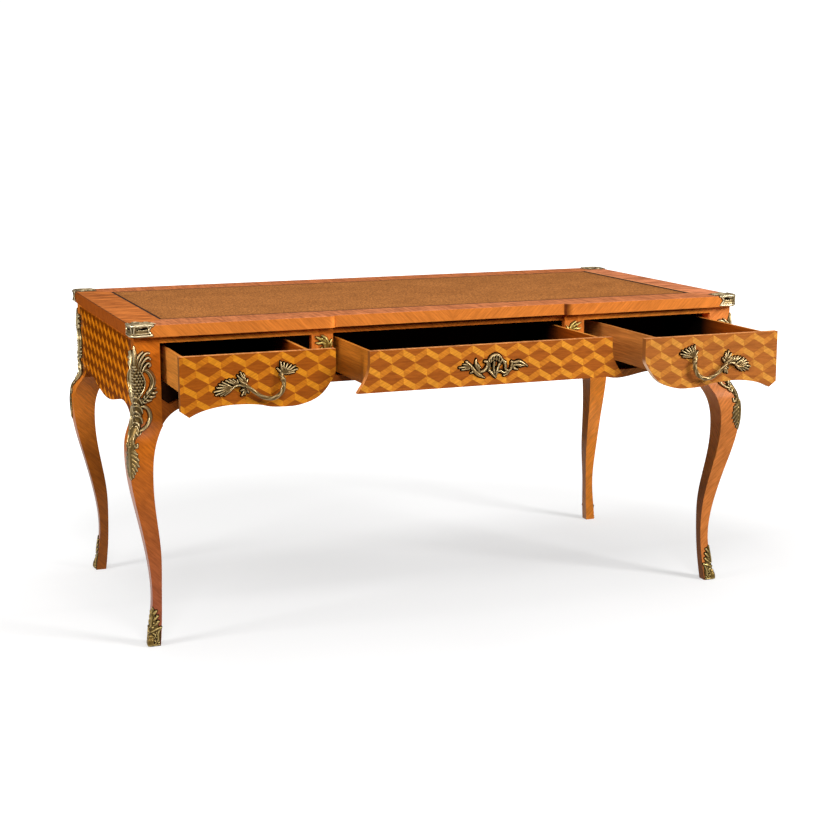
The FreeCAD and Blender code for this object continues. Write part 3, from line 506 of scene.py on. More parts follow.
# Darker copies of the lining for two sides: painted shade
SHADED_LININGS = {
    "middle_drawer_side_left": rgb(184, 110, 34),
    "right_drawer_side_inner": rgb(187, 118, 55),
}
LEFT_SIDES = "left_drawer_side_outer", "middle_drawer_side_left", "right_drawer_side_inner"
PATTERNS = {
    "left": ((-0.549, 0.6965), LEFT_TONES),
    "middle": ((0.0015, 0.696), FRONT_TONES),
    "right": ((0.549, 0.695), SOFT_TONES),
}
# Each leg's plain tone is a lighter or darker copy of one veneer, painted light; foot paints shade towards
# the floor, on the front left leg with a bluish painted sheen; inner paints the front right leg's inner
# face darker low and lighter high
LEG_LOOKS = {
    "front_left": dict(plain=rgb(195, 104, 23), foot=(0.54, 0.58, 4.0), fade=(0.08, 0.5), gloss=0.12,
                       side_gloss=0.42),
    "front_right": dict(plain=rgb(213, 127, 62), foot=(0.72, 0.72, 0.72), fade=(0.05, 0.45), gloss=0.05,
                        inner=(0.5, 1.7)),
    "rear_left": dict(plain=rgb(232, 130, 36), foot=(0.42, 0.40, 0.36), fade=(0.33, 0.45), gloss=0.24),
    "rear_right": dict(plain=rgb(228, 132, 34), gloss=0.26),
}

dress(["top_panel"], top_material())
dress(["leather_inset"], leather_material())
dress(["inlay_line"], veneer_material("dark_inlay", rgb(74, 42, 24), ALONG_Z))
for drawer, pattern in PATTERNS.items():
    dress([drawer + "_drawer_front"], front_material(drawer + "_parquetry", *pattern))
dress(["back_panel"],
      panel_material("back_parquetry", "front", (0.0, 0.696), 0.74, ORANGE, FRONT_TONES, gloss=0.15))
dress(["end_panel_right", "end_panel_left"],
      panel_material("end_parquetry", "end", END_SHIFT, END_BAND, END_EDGE, END_TONES, gloss=0.03))
for leg, tones in LEG_LOOKS.items():
    dress(["leg_" + leg], leg_material(leg + "_leg_veneer", **tones))
# The rails' tone is a lighter copy of the veneer, painted light under the top's overhang; the bay tones it
# down again as painted shade
dress(["front_top_rail", "rear_top_rail"],
      veneer_material("rail_veneer", rgb(204, 118, 38), SLANT, gloss=0.1, bay=(0.68, 0.56, 0.42, 1)))
dress(["post_right", "post_left"], veneer_material("upright_veneer", ORANGE, (0, math.radians(20), 0)))
dress(["apron_left", "apron_middle"],
      veneer_material("apron_veneer", rgb(150, 76, 20), SLANT, gloss=0.1))
# The right apron's tone is a much lighter copy of the aprons' veneer: painted light where the drawers shade
# it
dress(["apron_right"], veneer_material("apron_right_painted_light_veneer", rgb(232, 142, 70), SLANT, gloss=0.1))
# Near-black tone for the carcase and the drawers' backs and bottoms: painted shade for the dark inside of
# the desk
carcase = veneer_material("carcase_wood", rgb(44, 22, 9), ALONG_Y, along=5, across=120, rough=0.8,
                          gloss=0.02)
for drawer in OPENED:
    front = (MIDDLE_Y if drawer == "middle_drawer" else FRONT_Y) - OPENED[drawer]
    for name in starting(drawer + "_side_"):
        inward = 1 if name in LEFT_SIDES else -1
        dress([name], lining_material(name + "_wood", inward, front, SHADED_LININGS.get(name, LINING)))
    dress([drawer + "_back", drawer + "_bottom"], carcase)
dress(starting("partition_", "drawer_", "glue_", "lower_rail_"), carcase)
dress(["top_screws"], steel_material())
brass = brass_material("gilt_brass", rgb(132, 104, 54), rgb(214, 194, 148))
pale_brass = brass_material("pale_gilt_brass", rgb(166, 138, 90), rgb(240, 222, 182))
yellow_brass = brass_material("yellow_gilt_brass", rgb(140, 112, 38), rgb(208, 184, 104))
bronze = brass_material("dark_gilt_brass", rgb(114, 86, 46), rgb(202, 178, 130))
# A darker brass for the sabots
sabot_brass = brass_material("sabot_brass", rgb(112, 86, 32), rgb(194, 168, 104))
dress(starting("corner_cap", "knee_mount", "sabot", "post_leaf"), brass)
dress(["left_drawer_handle", "right_drawer_handle", "middle_drawer_escutcheon"], brass)


# Cast mounts: strokes of metal drawn on a sheet in millimetres, raised, then laid on the wood

def smooth_line(points, steps=6):
    """A rounded line through the points."""
    p = np.array(points, float)
    ends = np.vstack([2 * p[0] - p[1], p, 2 * p[-1] - p[-2]])
    line = []
    for a, b, c, d in zip(ends, ends[1:], ends[2:], ends[3:]):
        for t in np.arange(steps) / steps:
            line.append(0.5 * (2 * b + (c - a) * t + (2 * a - 5 * b + 4 * c - d) * t ** 2
                               + (3 * b - a - 3 * c + d) * t ** 3))
    return np.array(line + [p[-1]])


# Start values and shape of the sheets, in millimetres apart from the dome's power and the ribs' share
FAR = 99.0
OUTSIDE = -9.0
DOME = 0.6
RIB_DEPTH = 0.18
# A band grown round each casting, its side walls and its slots are coloured black: painted contact shadow
BORDER_HEIGHT = 0.3
SKIRT_HEIGHT = 0.1
BLUR = 2.2
SHADOW_PROUD = -3.0


class Relief:
    """A sheet of raised strokes: each has a path, half widths and heights along it."""

    # border is the width of the black band round the casting, painted shadow
    def __init__(self, low, high, cell, fat=1.0, border=0.9, wide=1.0):
        self.cell = cell
        self.border = border
        self.fat = fat
        self.wide = wide
        steps = [np.arange(a, b + cell, cell) for a, b in zip(low, high)]
        self.u, self.v = np.meshgrid(*steps, indexing="ij")
        self.low = np.array(low, float)
        self.edge = np.full(self.u.shape, OUTSIDE)
        self.height = np.zeros(self.u.shape)

    def stroke(self, points, widths, heights, ribs=0):
        path = smooth_line(points)
        runs = np.hypot(*np.diff(path, axis=0).T)
        starts = np.concatenate([[0], np.cumsum(runs)])
        nearest = np.full(self.u.shape, FAR)
        along, side = np.zeros((2, *self.u.shape))
        widths = np.array(widths) * self.fat
        reach = max(widths) + 3 * self.cell
        for a, b, run, start in zip(path, path[1:], runs, starts):
            first = np.maximum(((np.minimum(a, b) - reach - self.low) / self.cell).astype(int), 0)
            last = np.maximum(((np.maximum(a, b) + reach - self.low) / self.cell).astype(int) + 2, 0)
            patch = np.s_[first[0]:last[0], first[1]:last[1]]
            e = (b - a) / run
            du, dv = self.u[patch] - a[0], self.v[patch] - a[1]
            t = np.clip(du * e[0] + dv * e[1], 0, run)
            away = np.hypot(du - t * e[0], dv - t * e[1])
            closer = away < nearest[patch]
            turn = np.sign(e[0] * dv - e[1] * du)
            for field, value in ((nearest, away), (along, start + t), (side, turn)):
                field[patch][closer] = value[closer]
        share = along / starts[-1]
        width = np.interp(share, np.linspace(0, 1, len(widths)), widths)
        height = np.interp(share, np.linspace(0, 1, len(heights)), heights)
        q = np.clip(nearest / width, 0, 1)
        dome = height * (1 - q * q) ** DOME
        if ribs:
            dome *= 1 - RIB_DEPTH + RIB_DEPTH * np.cos(2 * np.pi * ribs * q * side)
        inside = width - nearest
        self.edge = np.maximum(self.edge, inside)
        self.height = np.where(inside > 0, np.maximum(self.height, dome), self.height)

    def across(self, points):
        """The points on the other side of the line u = 0, wide times as far away."""
        return [(-self.wide * u, v) for u, v in points]

    def pair(self, points, widths, heights, ribs=0):
        """The stroke and its twin across the line u = 0."""
        self.stroke(points, widths, heights, ribs)
        self.stroke(self.across(points), widths, heights, ribs)

    def lobes(self, paths, widths, heights):
        for path in paths:
            self.stroke(path, widths, heights)

    def hollow(self, first, last, half):
        """A slot between two points: the strokes there are cleared down to the base, which is painted black
        as shade.
        """
        du, dv = self.u - first[0], self.v - first[1]
        run_u, run_v = last[0] - first[0], last[1] - first[1]
        t = np.clip((du * run_u + dv * run_v) / (run_u ** 2 + run_v ** 2), 0, 1)
        away = np.hypot(du - t * run_u, dv - t * run_v)
        self.height = np.where(away < half, OUTSIDE, self.height)

    def leaf(self, rib, left, right, lobes, height, lean=0.7):
        """An acanthus leaf: a plate with lobes that fan forward from both sides of its midrib."""
        line = smooth_line(rib, 8)
        ahead = np.gradient(line, axis=0)
        ahead /= np.linalg.norm(ahead, axis=1)[:, None]
        plate = 0.8 * np.minimum(left, right)
        self.stroke(rib, plate / self.fat, [0.45 * height] * 2)
        for t in np.linspace(0.06, 0.9, lobes):
            k = int(round(t * (len(line) - 1)))
            e = ahead[k]
            for way, spread in ((1, left), (-1, right)):
                w = np.interp(t, np.linspace(0, 1, len(spread)), spread)
                n = way * np.array([-e[1], e[0]])
                tip = line[k] + w * (n + lean * e)
                bend = line[k] + w * (0.55 * n + 0.2 * lean * e)
                half = max(1.6, 0.34 * w) / self.fat
                self.stroke([line[k], bend, tip], (0.8 * half, half, 0.45 * half),
                            (0.7 * height, height, 0.7 * height))
        self.stroke(rib, np.array((1.5, 1.3, 0.8)) / self.fat, (1.1 * height, 1.1 * height, 0.8 * height))

    def trim(self, inside):
        """Cuts the metal away where inside is negative."""
        self.edge = np.minimum(self.edge, inside)

    def scales(self, centre, half, pitch, depth):
        """Rows of small overlapping scales inside an oval."""
        row = np.floor(self.v / pitch)
        s = np.abs(np.mod(self.u / pitch + 0.5 * np.mod(row, 2), 1.0) - 0.5) * 2
        t = np.mod(self.v / pitch, 1.0)
        inside = np.hypot((self.u - centre[0]) / half[0], (self.v - centre[1]) / half[1]) < 1
        self.height = np.where(inside & (self.edge > 0), self.height + depth * (t - s * s * 0.8),
                               self.height)

    def mesh(self, name, laid, signs, metal, rim, contrast=1.0):
        """The sheet as a solid: laid turns its places and heights into places on the desk."""
        cell, edge = self.cell, self.edge + self.border
        du, dv = np.gradient(edge, cell)
        steep = np.maximum(du * du + dv * dv, 0.2)
        outside = np.minimum(edge, 0)
        u = self.u - np.clip(outside * du / steep, -cell, cell)
        v = self.v - np.clip(outside * dv / steep, -cell, cell)
        cast = self.edge > 0
        height = np.where(cast, rim + np.maximum(self.height, 0), BORDER_HEIGHT)
        corners = quads(edge)
        whole = (corners.min(axis=2) > -0.8 * cell) & (corners.max(axis=2) > 0)
        faces = quads(np.arange(edge.size).reshape(edge.shape))[whole]
        sides = np.concatenate([faces[:, [k, (k + 1) % 4]] for k in range(4)])
        known = set(map(tuple, sides.tolist()))
        rims = np.array([pair for pair in known if pair[::-1] not in known])
        rims = rims[np.lexsort(rims.T)]
        skirt = np.stack([rims[:, 0], rims[:, 0] + edge.size, rims[:, 1] + edge.size, rims[:, 1]], 1)
        faces = np.concatenate([faces, skirt])
        used, faces = np.unique(faces, return_inverse=True)
        heights = np.concatenate([height.ravel(), np.full(edge.size, SKIRT_HEIGHT)])
        places = laid(np.tile(u.ravel(), 2)[used], np.tile(v.ravel(), 2)[used], heights[used])
        # proud sets the painted light: raised parts lighter, hollows darker, the band, walls and slots
        # black as painted shadow; contrast strengthens it
        proud = contrast * (height - blurred(height, max(int(BLUR / cell), 1)))
        proud = np.where(cast & (self.height > -1), proud, SHADOW_PROUD)
        proud = np.concatenate([proud.ravel(), np.full(edge.size, SHADOW_PROUD)])
        return solid(name, places, signs, faces.reshape(-1, 4), proud[used], metal)


def quads(grid):
    """The four corners of each cell of a grid."""
    return np.stack([grid[:-1, :-1], grid[1:, :-1], grid[1:, 1:], grid[:-1, 1:]], 2)


def blurred(field, reach):
    """The field averaged over a square, twice."""
    size = 2 * reach + 1
    for turn in range(4):
        total = np.cumsum(np.pad(field, ((reach + 1, reach), (0, 0)), mode="edge"), axis=0)
        field = ((total[size:] - total[:-size]) / size).T
    return field


def solid(name, places, signs, faces, proud, metal):
    """A smooth brass mesh: x and y times the signs; proud is the height above what is near."""
    points = np.stack(places, 1) * (*signs, 1) / MM
    mirrored = signs[0] * signs[1] < 0
    mesh = bpy.data.meshes.new(name)
    mesh.from_pydata(points.tolist(), [], (faces[:, ::-1] if mirrored else faces).tolist())
    mesh.attributes.new("proud", "FLOAT", "POINT").data.foreach_set("value", np.asarray(proud, np.float32))
    mesh.polygons.foreach_set("use_smooth", [True] * len(mesh.polygons))
    mesh.set_sharp_from_angle(angle=math.radians(60))
    mesh.materials.append(metal)
    piece = bpy.data.objects.new(name, mesh)
    scene.collection.objects.link(piece)
    return piece


def stand_in(piece, body, *names):
    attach(piece, body)
    if names:
        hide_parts(*names)


# Points on the arris: how far their two distances may differ, how far in they may lie, in millimetres
ARRIS_SLACK = 0.05
ARRIS_DEPTH = 29


def arris_line():
    """How far the front left leg's outer arris stands out, by height, both in millimetres."""
    points = MM * vertices("leg_front_left")
    out_x, out_y = -points[:, 0] - MM * HALF_X, MM * FRONT_Y - points[:, 1]
    on = (np.abs(out_x - out_y) < ARRIS_SLACK) & (out_x > -ARRIS_DEPTH)
    level, out = points[on, 2], np.minimum(out_x, out_y)[on]
    best = {}
    for z, o in zip(np.round(level, 1), out):
        best[z] = max(o, best.get(z, -FAR))
    return np.array(sorted(best.items())).T


ARRIS_Z, ARRIS_OUT = arris_line()
ARRIS_ROUND = 8


def on_leg(u, v, h):
    """Lays a sheet round a leg's outer arris: u runs inward on the front, back on the side if negative."""
    out = np.interp(v, ARRIS_Z, ARRIS_OUT)
    turn = np.clip(0.5 + u / ARRIS_ROUND, 0, 1)
    turn = turn * turn * (3 - 2 * turn)
    size = np.hypot(turn, 1 - turn)
    x = MM * HALF_X + out - np.maximum(u, 0) + h * (1 - turn) / size
    y = -MM * FRONT_Y + out - np.maximum(-u, 0) + h * turn / size
    return x, y, v


def on_front(centre, front):
    """Lays a sheet on an upright face: u from the centre, v the height."""
    return lambda u, v, h: (centre + u, MM * front - h, v)


def knee_relief():
    """Knee mount: a scaled shield between scrolls, a leafy stem, a long leaf down the leg."""
    sheet = Relief((-62, 408), (56, 748), cell=0.9, wide=1.18)
    pair = sheet.pair
    sheet.stroke([(0, 731), (0.5, 716), (1, 698), (1, 676)], (1.2, 4.5, 6.5, 6), (3, 6, 7, 6), 1)
    pair([(3, 690), (6, 672), (8, 650), (7, 628), (3, 606)], (4, 8, 12, 9, 6), (2, 3, 3.4, 3, 2.4))
    sheet.scales((0, 645), (24, 42), 7, 3.6)
    pair([(3, 674), (4, 692), (9, 707), (19, 717)], (2.4, 3.4, 3.6, 2.2), (5, 6.5, 7, 5.5))
    pair([(7, 673), (10, 691), (18, 706), (27, 713.5), (34, 713)], (2.4, 3.4, 3.8, 3.4, 2.6),
         (5, 7, 7.5, 7, 6))
    pair([(11, 671), (15, 687), (23, 698), (31, 703), (36, 699)], (2.4, 3.4, 3.8, 3.4, 2.8),
         (5, 7, 7.5, 7, 6.5))
    pair([(15, 668), (21, 680), (27, 688), (33, 690), (36, 685), (32, 682)], (2.4, 3.2, 3.4, 3.2, 3, 2.6),
         (5, 7, 7.5, 7.5, 7, 6))
    pair([(15, 675), (27, 673), (36, 664), (41, 650), (38, 634), (27, 619)],
         (3.6, 5.4, 6.6, 6.6, 5.8, 4.4), (5, 7, 8, 8, 7.5, 6), 1)
    pair([(4, 684), (15, 667), (21, 652), (21.5, 639), (15, 623), (5, 609)], (1.8, 2, 2, 2, 2, 1.8),
         (6, 6.5, 7, 7, 6.5, 6))
    rib, left, right = [(13, 600), (23, 609), (33, 620), (43, 635)], (5, 8, 8, 3), (8, 14, 13, 4)
    sheet.leaf(rib, left, right, 5, 6.5)
    sheet.leaf(sheet.across(rib), right, left, 5, 6.5)
    pair([(2, 612), (3, 596), (4, 578), (5, 558), (6, 538), (7, 520)], (8, 9, 9, 8.5, 8, 6),
         (3, 3.4, 3.4, 3.2, 3, 2.6))
    for points in ([(0, 612), (8, 606), (13, 595)], [(0, 599), (5, 594), (8, 585)],
                   [(1, 592), (10, 586), (14, 574)], [(1, 578), (6, 572), (9, 563)],
                   [(2, 568), (10, 562), (15, 551)], [(2, 553), (7, 548), (11, 540)],
                   [(3, 545), (9, 538), (13, 530)]):
        pair(points, (2.8, 3.2, 1.8), (6, 6.8, 5))
    pair([(8, 588), (17, 589), (27, 582), (32, 566), (29, 548), (22, 538), (10, 533)],
         (3.4, 4.4, 5, 5.2, 5.2, 5, 4), (5, 6.5, 7, 7, 7, 6.5, 5))
    pair([(4, 540), (5, 520), (6, 505), (6, 494)], (7, 6, 5.2, 5), (4.5, 4, 3, 2.6))
    pair([(5, 528), (6, 514), (7, 500)], (2, 2, 1.8), (6, 5, 2.9))
    pair([(7, 533), (13, 526), (18, 529), (16, 534)], (3.2, 3.2, 3, 2.4), (6, 6, 5.5, 4.5))
    pair([(7, 510), (12, 500), (18, 499), (18, 505)], (3.2, 3.4, 3.2, 2.4), (2.9, 2.9, 2.9, 2.6))
    pair([(4, 498), (7, 480), (7, 462), (5, 444), (2.5, 424)], (5, 13, 15, 10, 1.2),
         (1, 1.4, 1.4, 1.1, 0.6))
    for points in ([(5, 490), (13, 485), (19, 482)], [(6, 481), (14, 475), (22, 468)],
                   [(6, 471), (14, 463), (22, 453)], [(6, 460), (12, 452), (17, 443)],
                   [(5, 449), (9, 442), (12, 436)], [(4, 438), (6, 432), (7, 428)]):
        pair(points, (3, 3.6, 2), (2.5, 2.8, 2.4))
    sheet.stroke([(1, 500), (1, 470), (1, 446), (1, 422)], (3, 2.6, 2, 0.8), (2.6, 2.8, 2.6, 2))
    return sheet


# Rod of a pull: places across, below the drawer's top and forward, and radii along it, in millimetres
PULL_PATH = [(50, 56, 8), (43, 62, 10), (35, 69, 11.5), (25, 77, 13), (9, 90.5, 14.5), (-8, 99.5, 15.8),
             (-22, 102.5, 15.8), (-37, 99, 15.2), (-48, 90, 14), (-53.5, 77, 12.5), (-54, 65, 10.5),
             (-51, 55, 8), (-47, 48, 6)]
PULL_RADII = (2.2, 3.2, 3.8, 4.2, 4.5, 4.7, 4.8, 4.9, 5, 5.1, 5, 4.8, 4.4)

# Corners round that rod, and the knops: place along the rod, spread, swelling
AROUND = 14
KNOPS = (0.13, 0.02, 0.45), (0.86, 0.018, 0.35)


def pull_bow(name, laid, signs):
    """The bow of a pull: a turned rod with a fine twist and a knop at each root."""
    line = smooth_line(PULL_PATH, 8)
    share = np.linspace(0, 1, len(line))
    size = np.interp(share, np.linspace(0, 1, len(PULL_RADII)), PULL_RADII)
    size *= 1 + sum(swell * np.exp(-((share - at) / spread) ** 2) for at, spread, swell in KNOPS)
    points, proud = [], []
    for k, middle in enumerate(line):
        ahead = line[min(k + 1, len(line) - 1)] - line[max(k - 1, 0)]
        ahead /= np.linalg.norm(ahead)
        first = np.cross(ahead, (0, 0, 1.0))
        first /= np.linalg.norm(first)
        second = np.cross(ahead, first)
        for a in np.linspace(0, 2 * math.pi, AROUND, endpoint=False):
            wave = math.cos(3 * a + 0.5 * k)
            out = math.cos(a) * first + math.sin(a) * second
            points.append(middle + size[k] * (1 + 0.10 * wave) * out)
            # The twist's ridges are painted lighter and its grooves darker: painted light
            proud.append(0.35 + 0.45 * wave)
    x, drop, forward = np.array(points).T
    number = np.arange(len(points)).reshape(-1, AROUND)
    faces = quads(np.hstack([number, number[:, :1]])).reshape(-1, 4)
    return solid(name, laid(x, MM * DRAWER_TOP - drop, forward), signs, faces[:, ::-1], proud, bronze)


def pull_relief():
    """Leaves at both roots of a pull, drawn from the drawer's top edge down."""
    sheet = Relief((-104, 620), (118, 722), cell=0.8, border=2.2)

    def stroke(points, widths, heights):
        sheet.stroke([(x, MM * DRAWER_TOP - drop) for x, drop in points], widths, heights)

    def fan(root, tips, width, height):
        """Petals from one root, each widest before its tip."""
        for tip in tips:
            stroke([root, tip], (0.5 * width, width, 0.55 * width), (0.6 * height, height, 0.6 * height))

    fan((-54, 50),
        [(-50, 23), (-58, 25), (-66, 28), (-75, 31), (-84, 34), (-89, 41), (-82, 48), (-42, 37)], 3.1, 6.5)
    fan((50, 70), [(52, 58), (61, 56), (70, 56), (78, 58)], 3.3, 6.5)
    fan((64, 74), [(86, 61), (93, 66), (99, 73), (105, 82), (101, 89), (91, 91), (82, 91), (73, 86)], 3.4,
        6.5)
    fan((33, 68), [(37, 45), (44, 41), (51, 48), (28, 58)], 3.2, 6)
    fan((32, 77), [(26, 88), (35, 92), (42, 94), (44, 83)], 3.2, 5.5)
    stroke([(37, 73), (47, 69), (58, 71), (65, 78)], (3.2, 3.6, 3.4, 2), (7, 9, 9, 6))
    return sheet


SIDE_CENTRE = 546.75
pull = pull_relief()
for drawer, sign in (("left_drawer", -1), ("right_drawer", 1)):
    laid = on_front(SIDE_CENTRE, FRONT_Y - OPENED[drawer])
    leaves = pull.mesh("cast_leaves_" + drawer, laid, (sign, 1), bronze, rim=2.0)
    stand_in(leaves, drawer, drawer + "_handle")
    stand_in(pull_bow("cast_bow_" + drawer, laid, (sign, 1)), drawer)


def rocaille_relief():
    """Mount of the middle drawer: scrolls round three eyes, leaves to both sides."""
    sheet = Relief((-98, 638), (92, 714), cell=0.8, fat=1.15, border=2.4)
    stroke = sheet.stroke
    stroke([(-72, 690), (-63, 681), (-54, 671), (-44, 661), (-27, 651)], (3, 4, 4.2, 4.2, 1.2),
           (5, 6, 6, 5.5, 3))
    sheet.lobes([[(-67, 678), (-79, 678.5), (-91, 678)], [(-67, 675), (-76, 674), (-84, 672.5)],
                 [(-66, 681), (-73, 684), (-80, 685)], [(-54, 669), (-61.5, 664)]], (3, 2.6, 1.2),
                (5.5, 5, 3.5))
    stroke([(-41, 668), (-48, 682), (-48, 696)], (3.6, 4, 0.9), (5, 5.5, 3))
    sheet.lobes([[(-40, 675), (-44, 684)], [(-46, 662), (-36, 655)]], (2.8, 1.6), (5.5, 4))
    stroke([(-40, 664), (-28, 668), (-20.5, 677), (-20.5, 687), (-26, 689)], (3, 3.2, 3.2, 3, 2.8),
           (5, 6, 6, 6.5, 6.5))
    stroke([(-16, 691), (-8.5, 700), (2.5, 703), (11.5, 699), (19, 689), (26, 685)],
           (2.4, 3, 3.2, 3, 2.6, 2.4), (5.5, 6.5, 7, 6.5, 6, 6))
    sheet.lobes([[(-12, 687), (-12, 696)], [(-6, 690), (-4, 701)], [(2, 691), (2.5, 703)],
                 [(8, 689), (10, 700)], [(13, 685), (17, 692)]], (1.7, 1.9), (6.5, 7.8))
    stroke([(-11, 687), (-4, 693), (5, 693.5), (11.5, 687), (12.5, 680)], (2, 2.2, 2.2, 2.2, 2),
           (4, 4.5, 4.5, 4.5, 4))
    sheet.lobes([[(-16, 688), (-15, 677), (-17, 667)], [(-3, 686), (-4, 673), (-2, 661)]], (2.6, 2.4, 2.2),
                (5.5, 5, 5))
    stroke([(-16, 668), (-8, 660), (0.8, 650)], (2.6, 3, 1.2), (5, 6, 4))
    stroke([(10, 681), (4.5, 666), (1, 651)], (2.4, 2.8, 1.2), (5.5, 6.5, 4))
    stroke([(2, 661), (12, 665), (23, 660), (35, 665)], (2, 2.4, 2.6, 2.2), (5, 5.5, 5.5, 5))
    stroke([(35, 664), (29, 657), (21, 653)], (2.8, 3.2, 1.2), (5, 5.5, 3.5))
    stroke([(19, 689), (25, 679), (26, 669), (32, 663)], (2.4, 2.8, 2.8, 2.4), (5.5, 6, 6, 5.5))
    stroke([(34, 664), (39, 667), (42, 676), (42, 686)], (2.2, 2.8, 2.8, 1.6), (5, 5.5, 5.5, 4.5))
    stroke([(41, 684), (50, 683), (61, 684.5), (72, 679), (83, 672)], (2.2, 3, 3.2, 2.8, 1),
           (5, 6, 6, 5.5, 3))
    stroke([(41, 674), (49, 676.5), (61, 676), (73, 674)], (2.2, 3.2, 3.4, 2), (5, 5.5, 5.5, 4))
    sheet.lobes([[(44, 674), (50, 668), (58, 665.5)], [(60, 676), (66, 671)]], (2.8, 2.6, 1.2), (5, 5, 3.5))
    return sheet


laid = on_front(0, MIDDLE_Y - OPENED["middle_drawer"])
piece = rocaille_relief().mesh("cast_rocaille", laid, (1, 1), bronze, rim=1.0)
stand_in(piece, "middle_drawer", "middle_drawer_escutcheon")


def post_relief():
    """Curled leaf on a post."""
    sheet = Relief((-32, 650), (34, 742), cell=0.7, fat=1.25)
    stroke = sheet.stroke
    stroke([(9, 660), (13, 684), (14, 702), (15, 712), (12, 722), (6, 729), (0, 732)],
           (1.2, 3, 4, 4.4, 4, 3.4, 1.2), (3, 5, 6, 6.5, 6.5, 6, 4))
    stroke([(12, 700), (11, 714), (5, 721), (-3, 721)], (3.6, 3.8, 3.4, 1.2), (5, 6, 5.5, 3.5))
    stroke([(10, 700), (8, 711), (2, 715), (-3, 714), (-8, 713.5), (-14, 715)],
           (3.4, 3.8, 3.6, 3, 2.6, 1.2), (5, 6, 6, 5, 4.5, 3))
    stroke([(2, 724), (-3, 723.5), (-7, 726), (-14, 729)], (3, 3, 2.8, 1), (5, 5, 4.5, 3))
    stroke([(15, 702), (21, 712), (26, 722)], (3.4, 3.8, 1), (5, 5.5, 3))
    stroke([(16, 700), (24, 707), (27, 714)], (3.4, 3.2, 1), (4.5, 5, 3))
    stroke([(12, 688), (2, 694), (0.5, 702)], (3, 3, 2.2), (4.5, 5, 4.5))
    stroke([(12, 680), (22, 688), (25, 698)], (3, 3, 1), (4.5, 5, 3))
    stroke([(11, 672), (2, 678), (-4, 686)], (2.8, 2.6, 1), (4.5, 4.5, 3))
    return sheet


POST_CENTRE = 339
leaf = post_relief()
for side, sign in (("left", 1), ("right", -1)):
    laid = on_front(-POST_CENTRE, FRONT_Y)
    piece = leaf.mesh("cast_post_leaf_" + side, laid, (sign, 1), yellow_brass, rim=1.0)
    stand_in(piece, "desk", "post_leaf_" + side)


# The top's end and long side from its middle, and the radius of its corners, in millimetres
TOP_END = 800
TOP_SIDE = 404
TOP_RADIUS = 20


def on_edge(u, v, h):
    """Lays a sheet round a corner of the top: u runs along the rim from the corner, v is the height."""
    half = TOP_RADIUS * math.pi / 4
    angle = math.pi / 4 - np.clip(u, -half, half) / TOP_RADIUS
    x = TOP_END - TOP_RADIUS + (TOP_RADIUS + h) * np.sin(angle) - np.maximum(u - half, 0)
    y = TOP_SIDE - TOP_RADIUS + (TOP_RADIUS + h) * np.cos(angle) - np.maximum(-u - half, 0)
    return x, y, v


def on_lip(u, v, h):
    """Lays a sheet on the top's corner: u inward from the end, v inward from the long side."""
    return TOP_END - u, TOP_SIDE - v, MM * HEIGHT + h


def cap_relief():
    """Wall of a cap: a plain band on a moulded foot, slots painted black as shade under a scrolled rim,
    fish-tail ends.
    """
    sheet = Relief((-52, 748), (52, 786), cell=0.7, border=1.0)
    stroke = sheet.stroke
    stroke([(-32, 762), (0, 762), (32, 762)], (6, 8, 6), (1, 1, 1))
    stroke([(-32, 771), (0, 771), (32, 771)], (6, 7, 6), (0.9, 0.9, 0.9))
    stroke([(-43, 756), (0, 755.5), (43, 756)], (2.4, 3, 2.4), (2.8, 3, 2.8))
    stroke([(-42, 761), (0, 760.5), (42, 761)], (1.3, 1.3, 1.3), (2, 2, 2))
    stroke([(-44, 779), (-20, 779.5), (0, 778), (20, 779.5), (44, 779)], (2.6, 3.2, 3.6, 3.2, 2.6),
           (2.6, 3, 3, 3, 2.6))
    sheet.pair([(46, 755), (38, 764), (37.5, 770), (45, 780)], (1.4, 2.4, 2.4, 1.6), (2.2, 2.8, 2.8, 2.2))
    for u, v in ((7, 780), (16, 777.5), (25, 780.5), (34, 777.5), (42, 780)):
        sheet.pair([(u, v), (u + 4, v - 1)], (2.6, 3.2), (3.1, 2.4))
    sheet.pair([(4, 758), (3, 766), (5, 775)], (2.2, 2.6, 2.6), (2.2, 2.6, 2.8))
    for way in (1, -1):
        sheet.hollow((10 * way, 770.5), (22 * way, 771.5), 1.7)
        sheet.hollow((20 * way, 771.5), (31 * way, 772.5), 2.8)
    sheet.trim(sheet.v - 753.2)
    sheet.trim(781.6 - sheet.v)
    return sheet


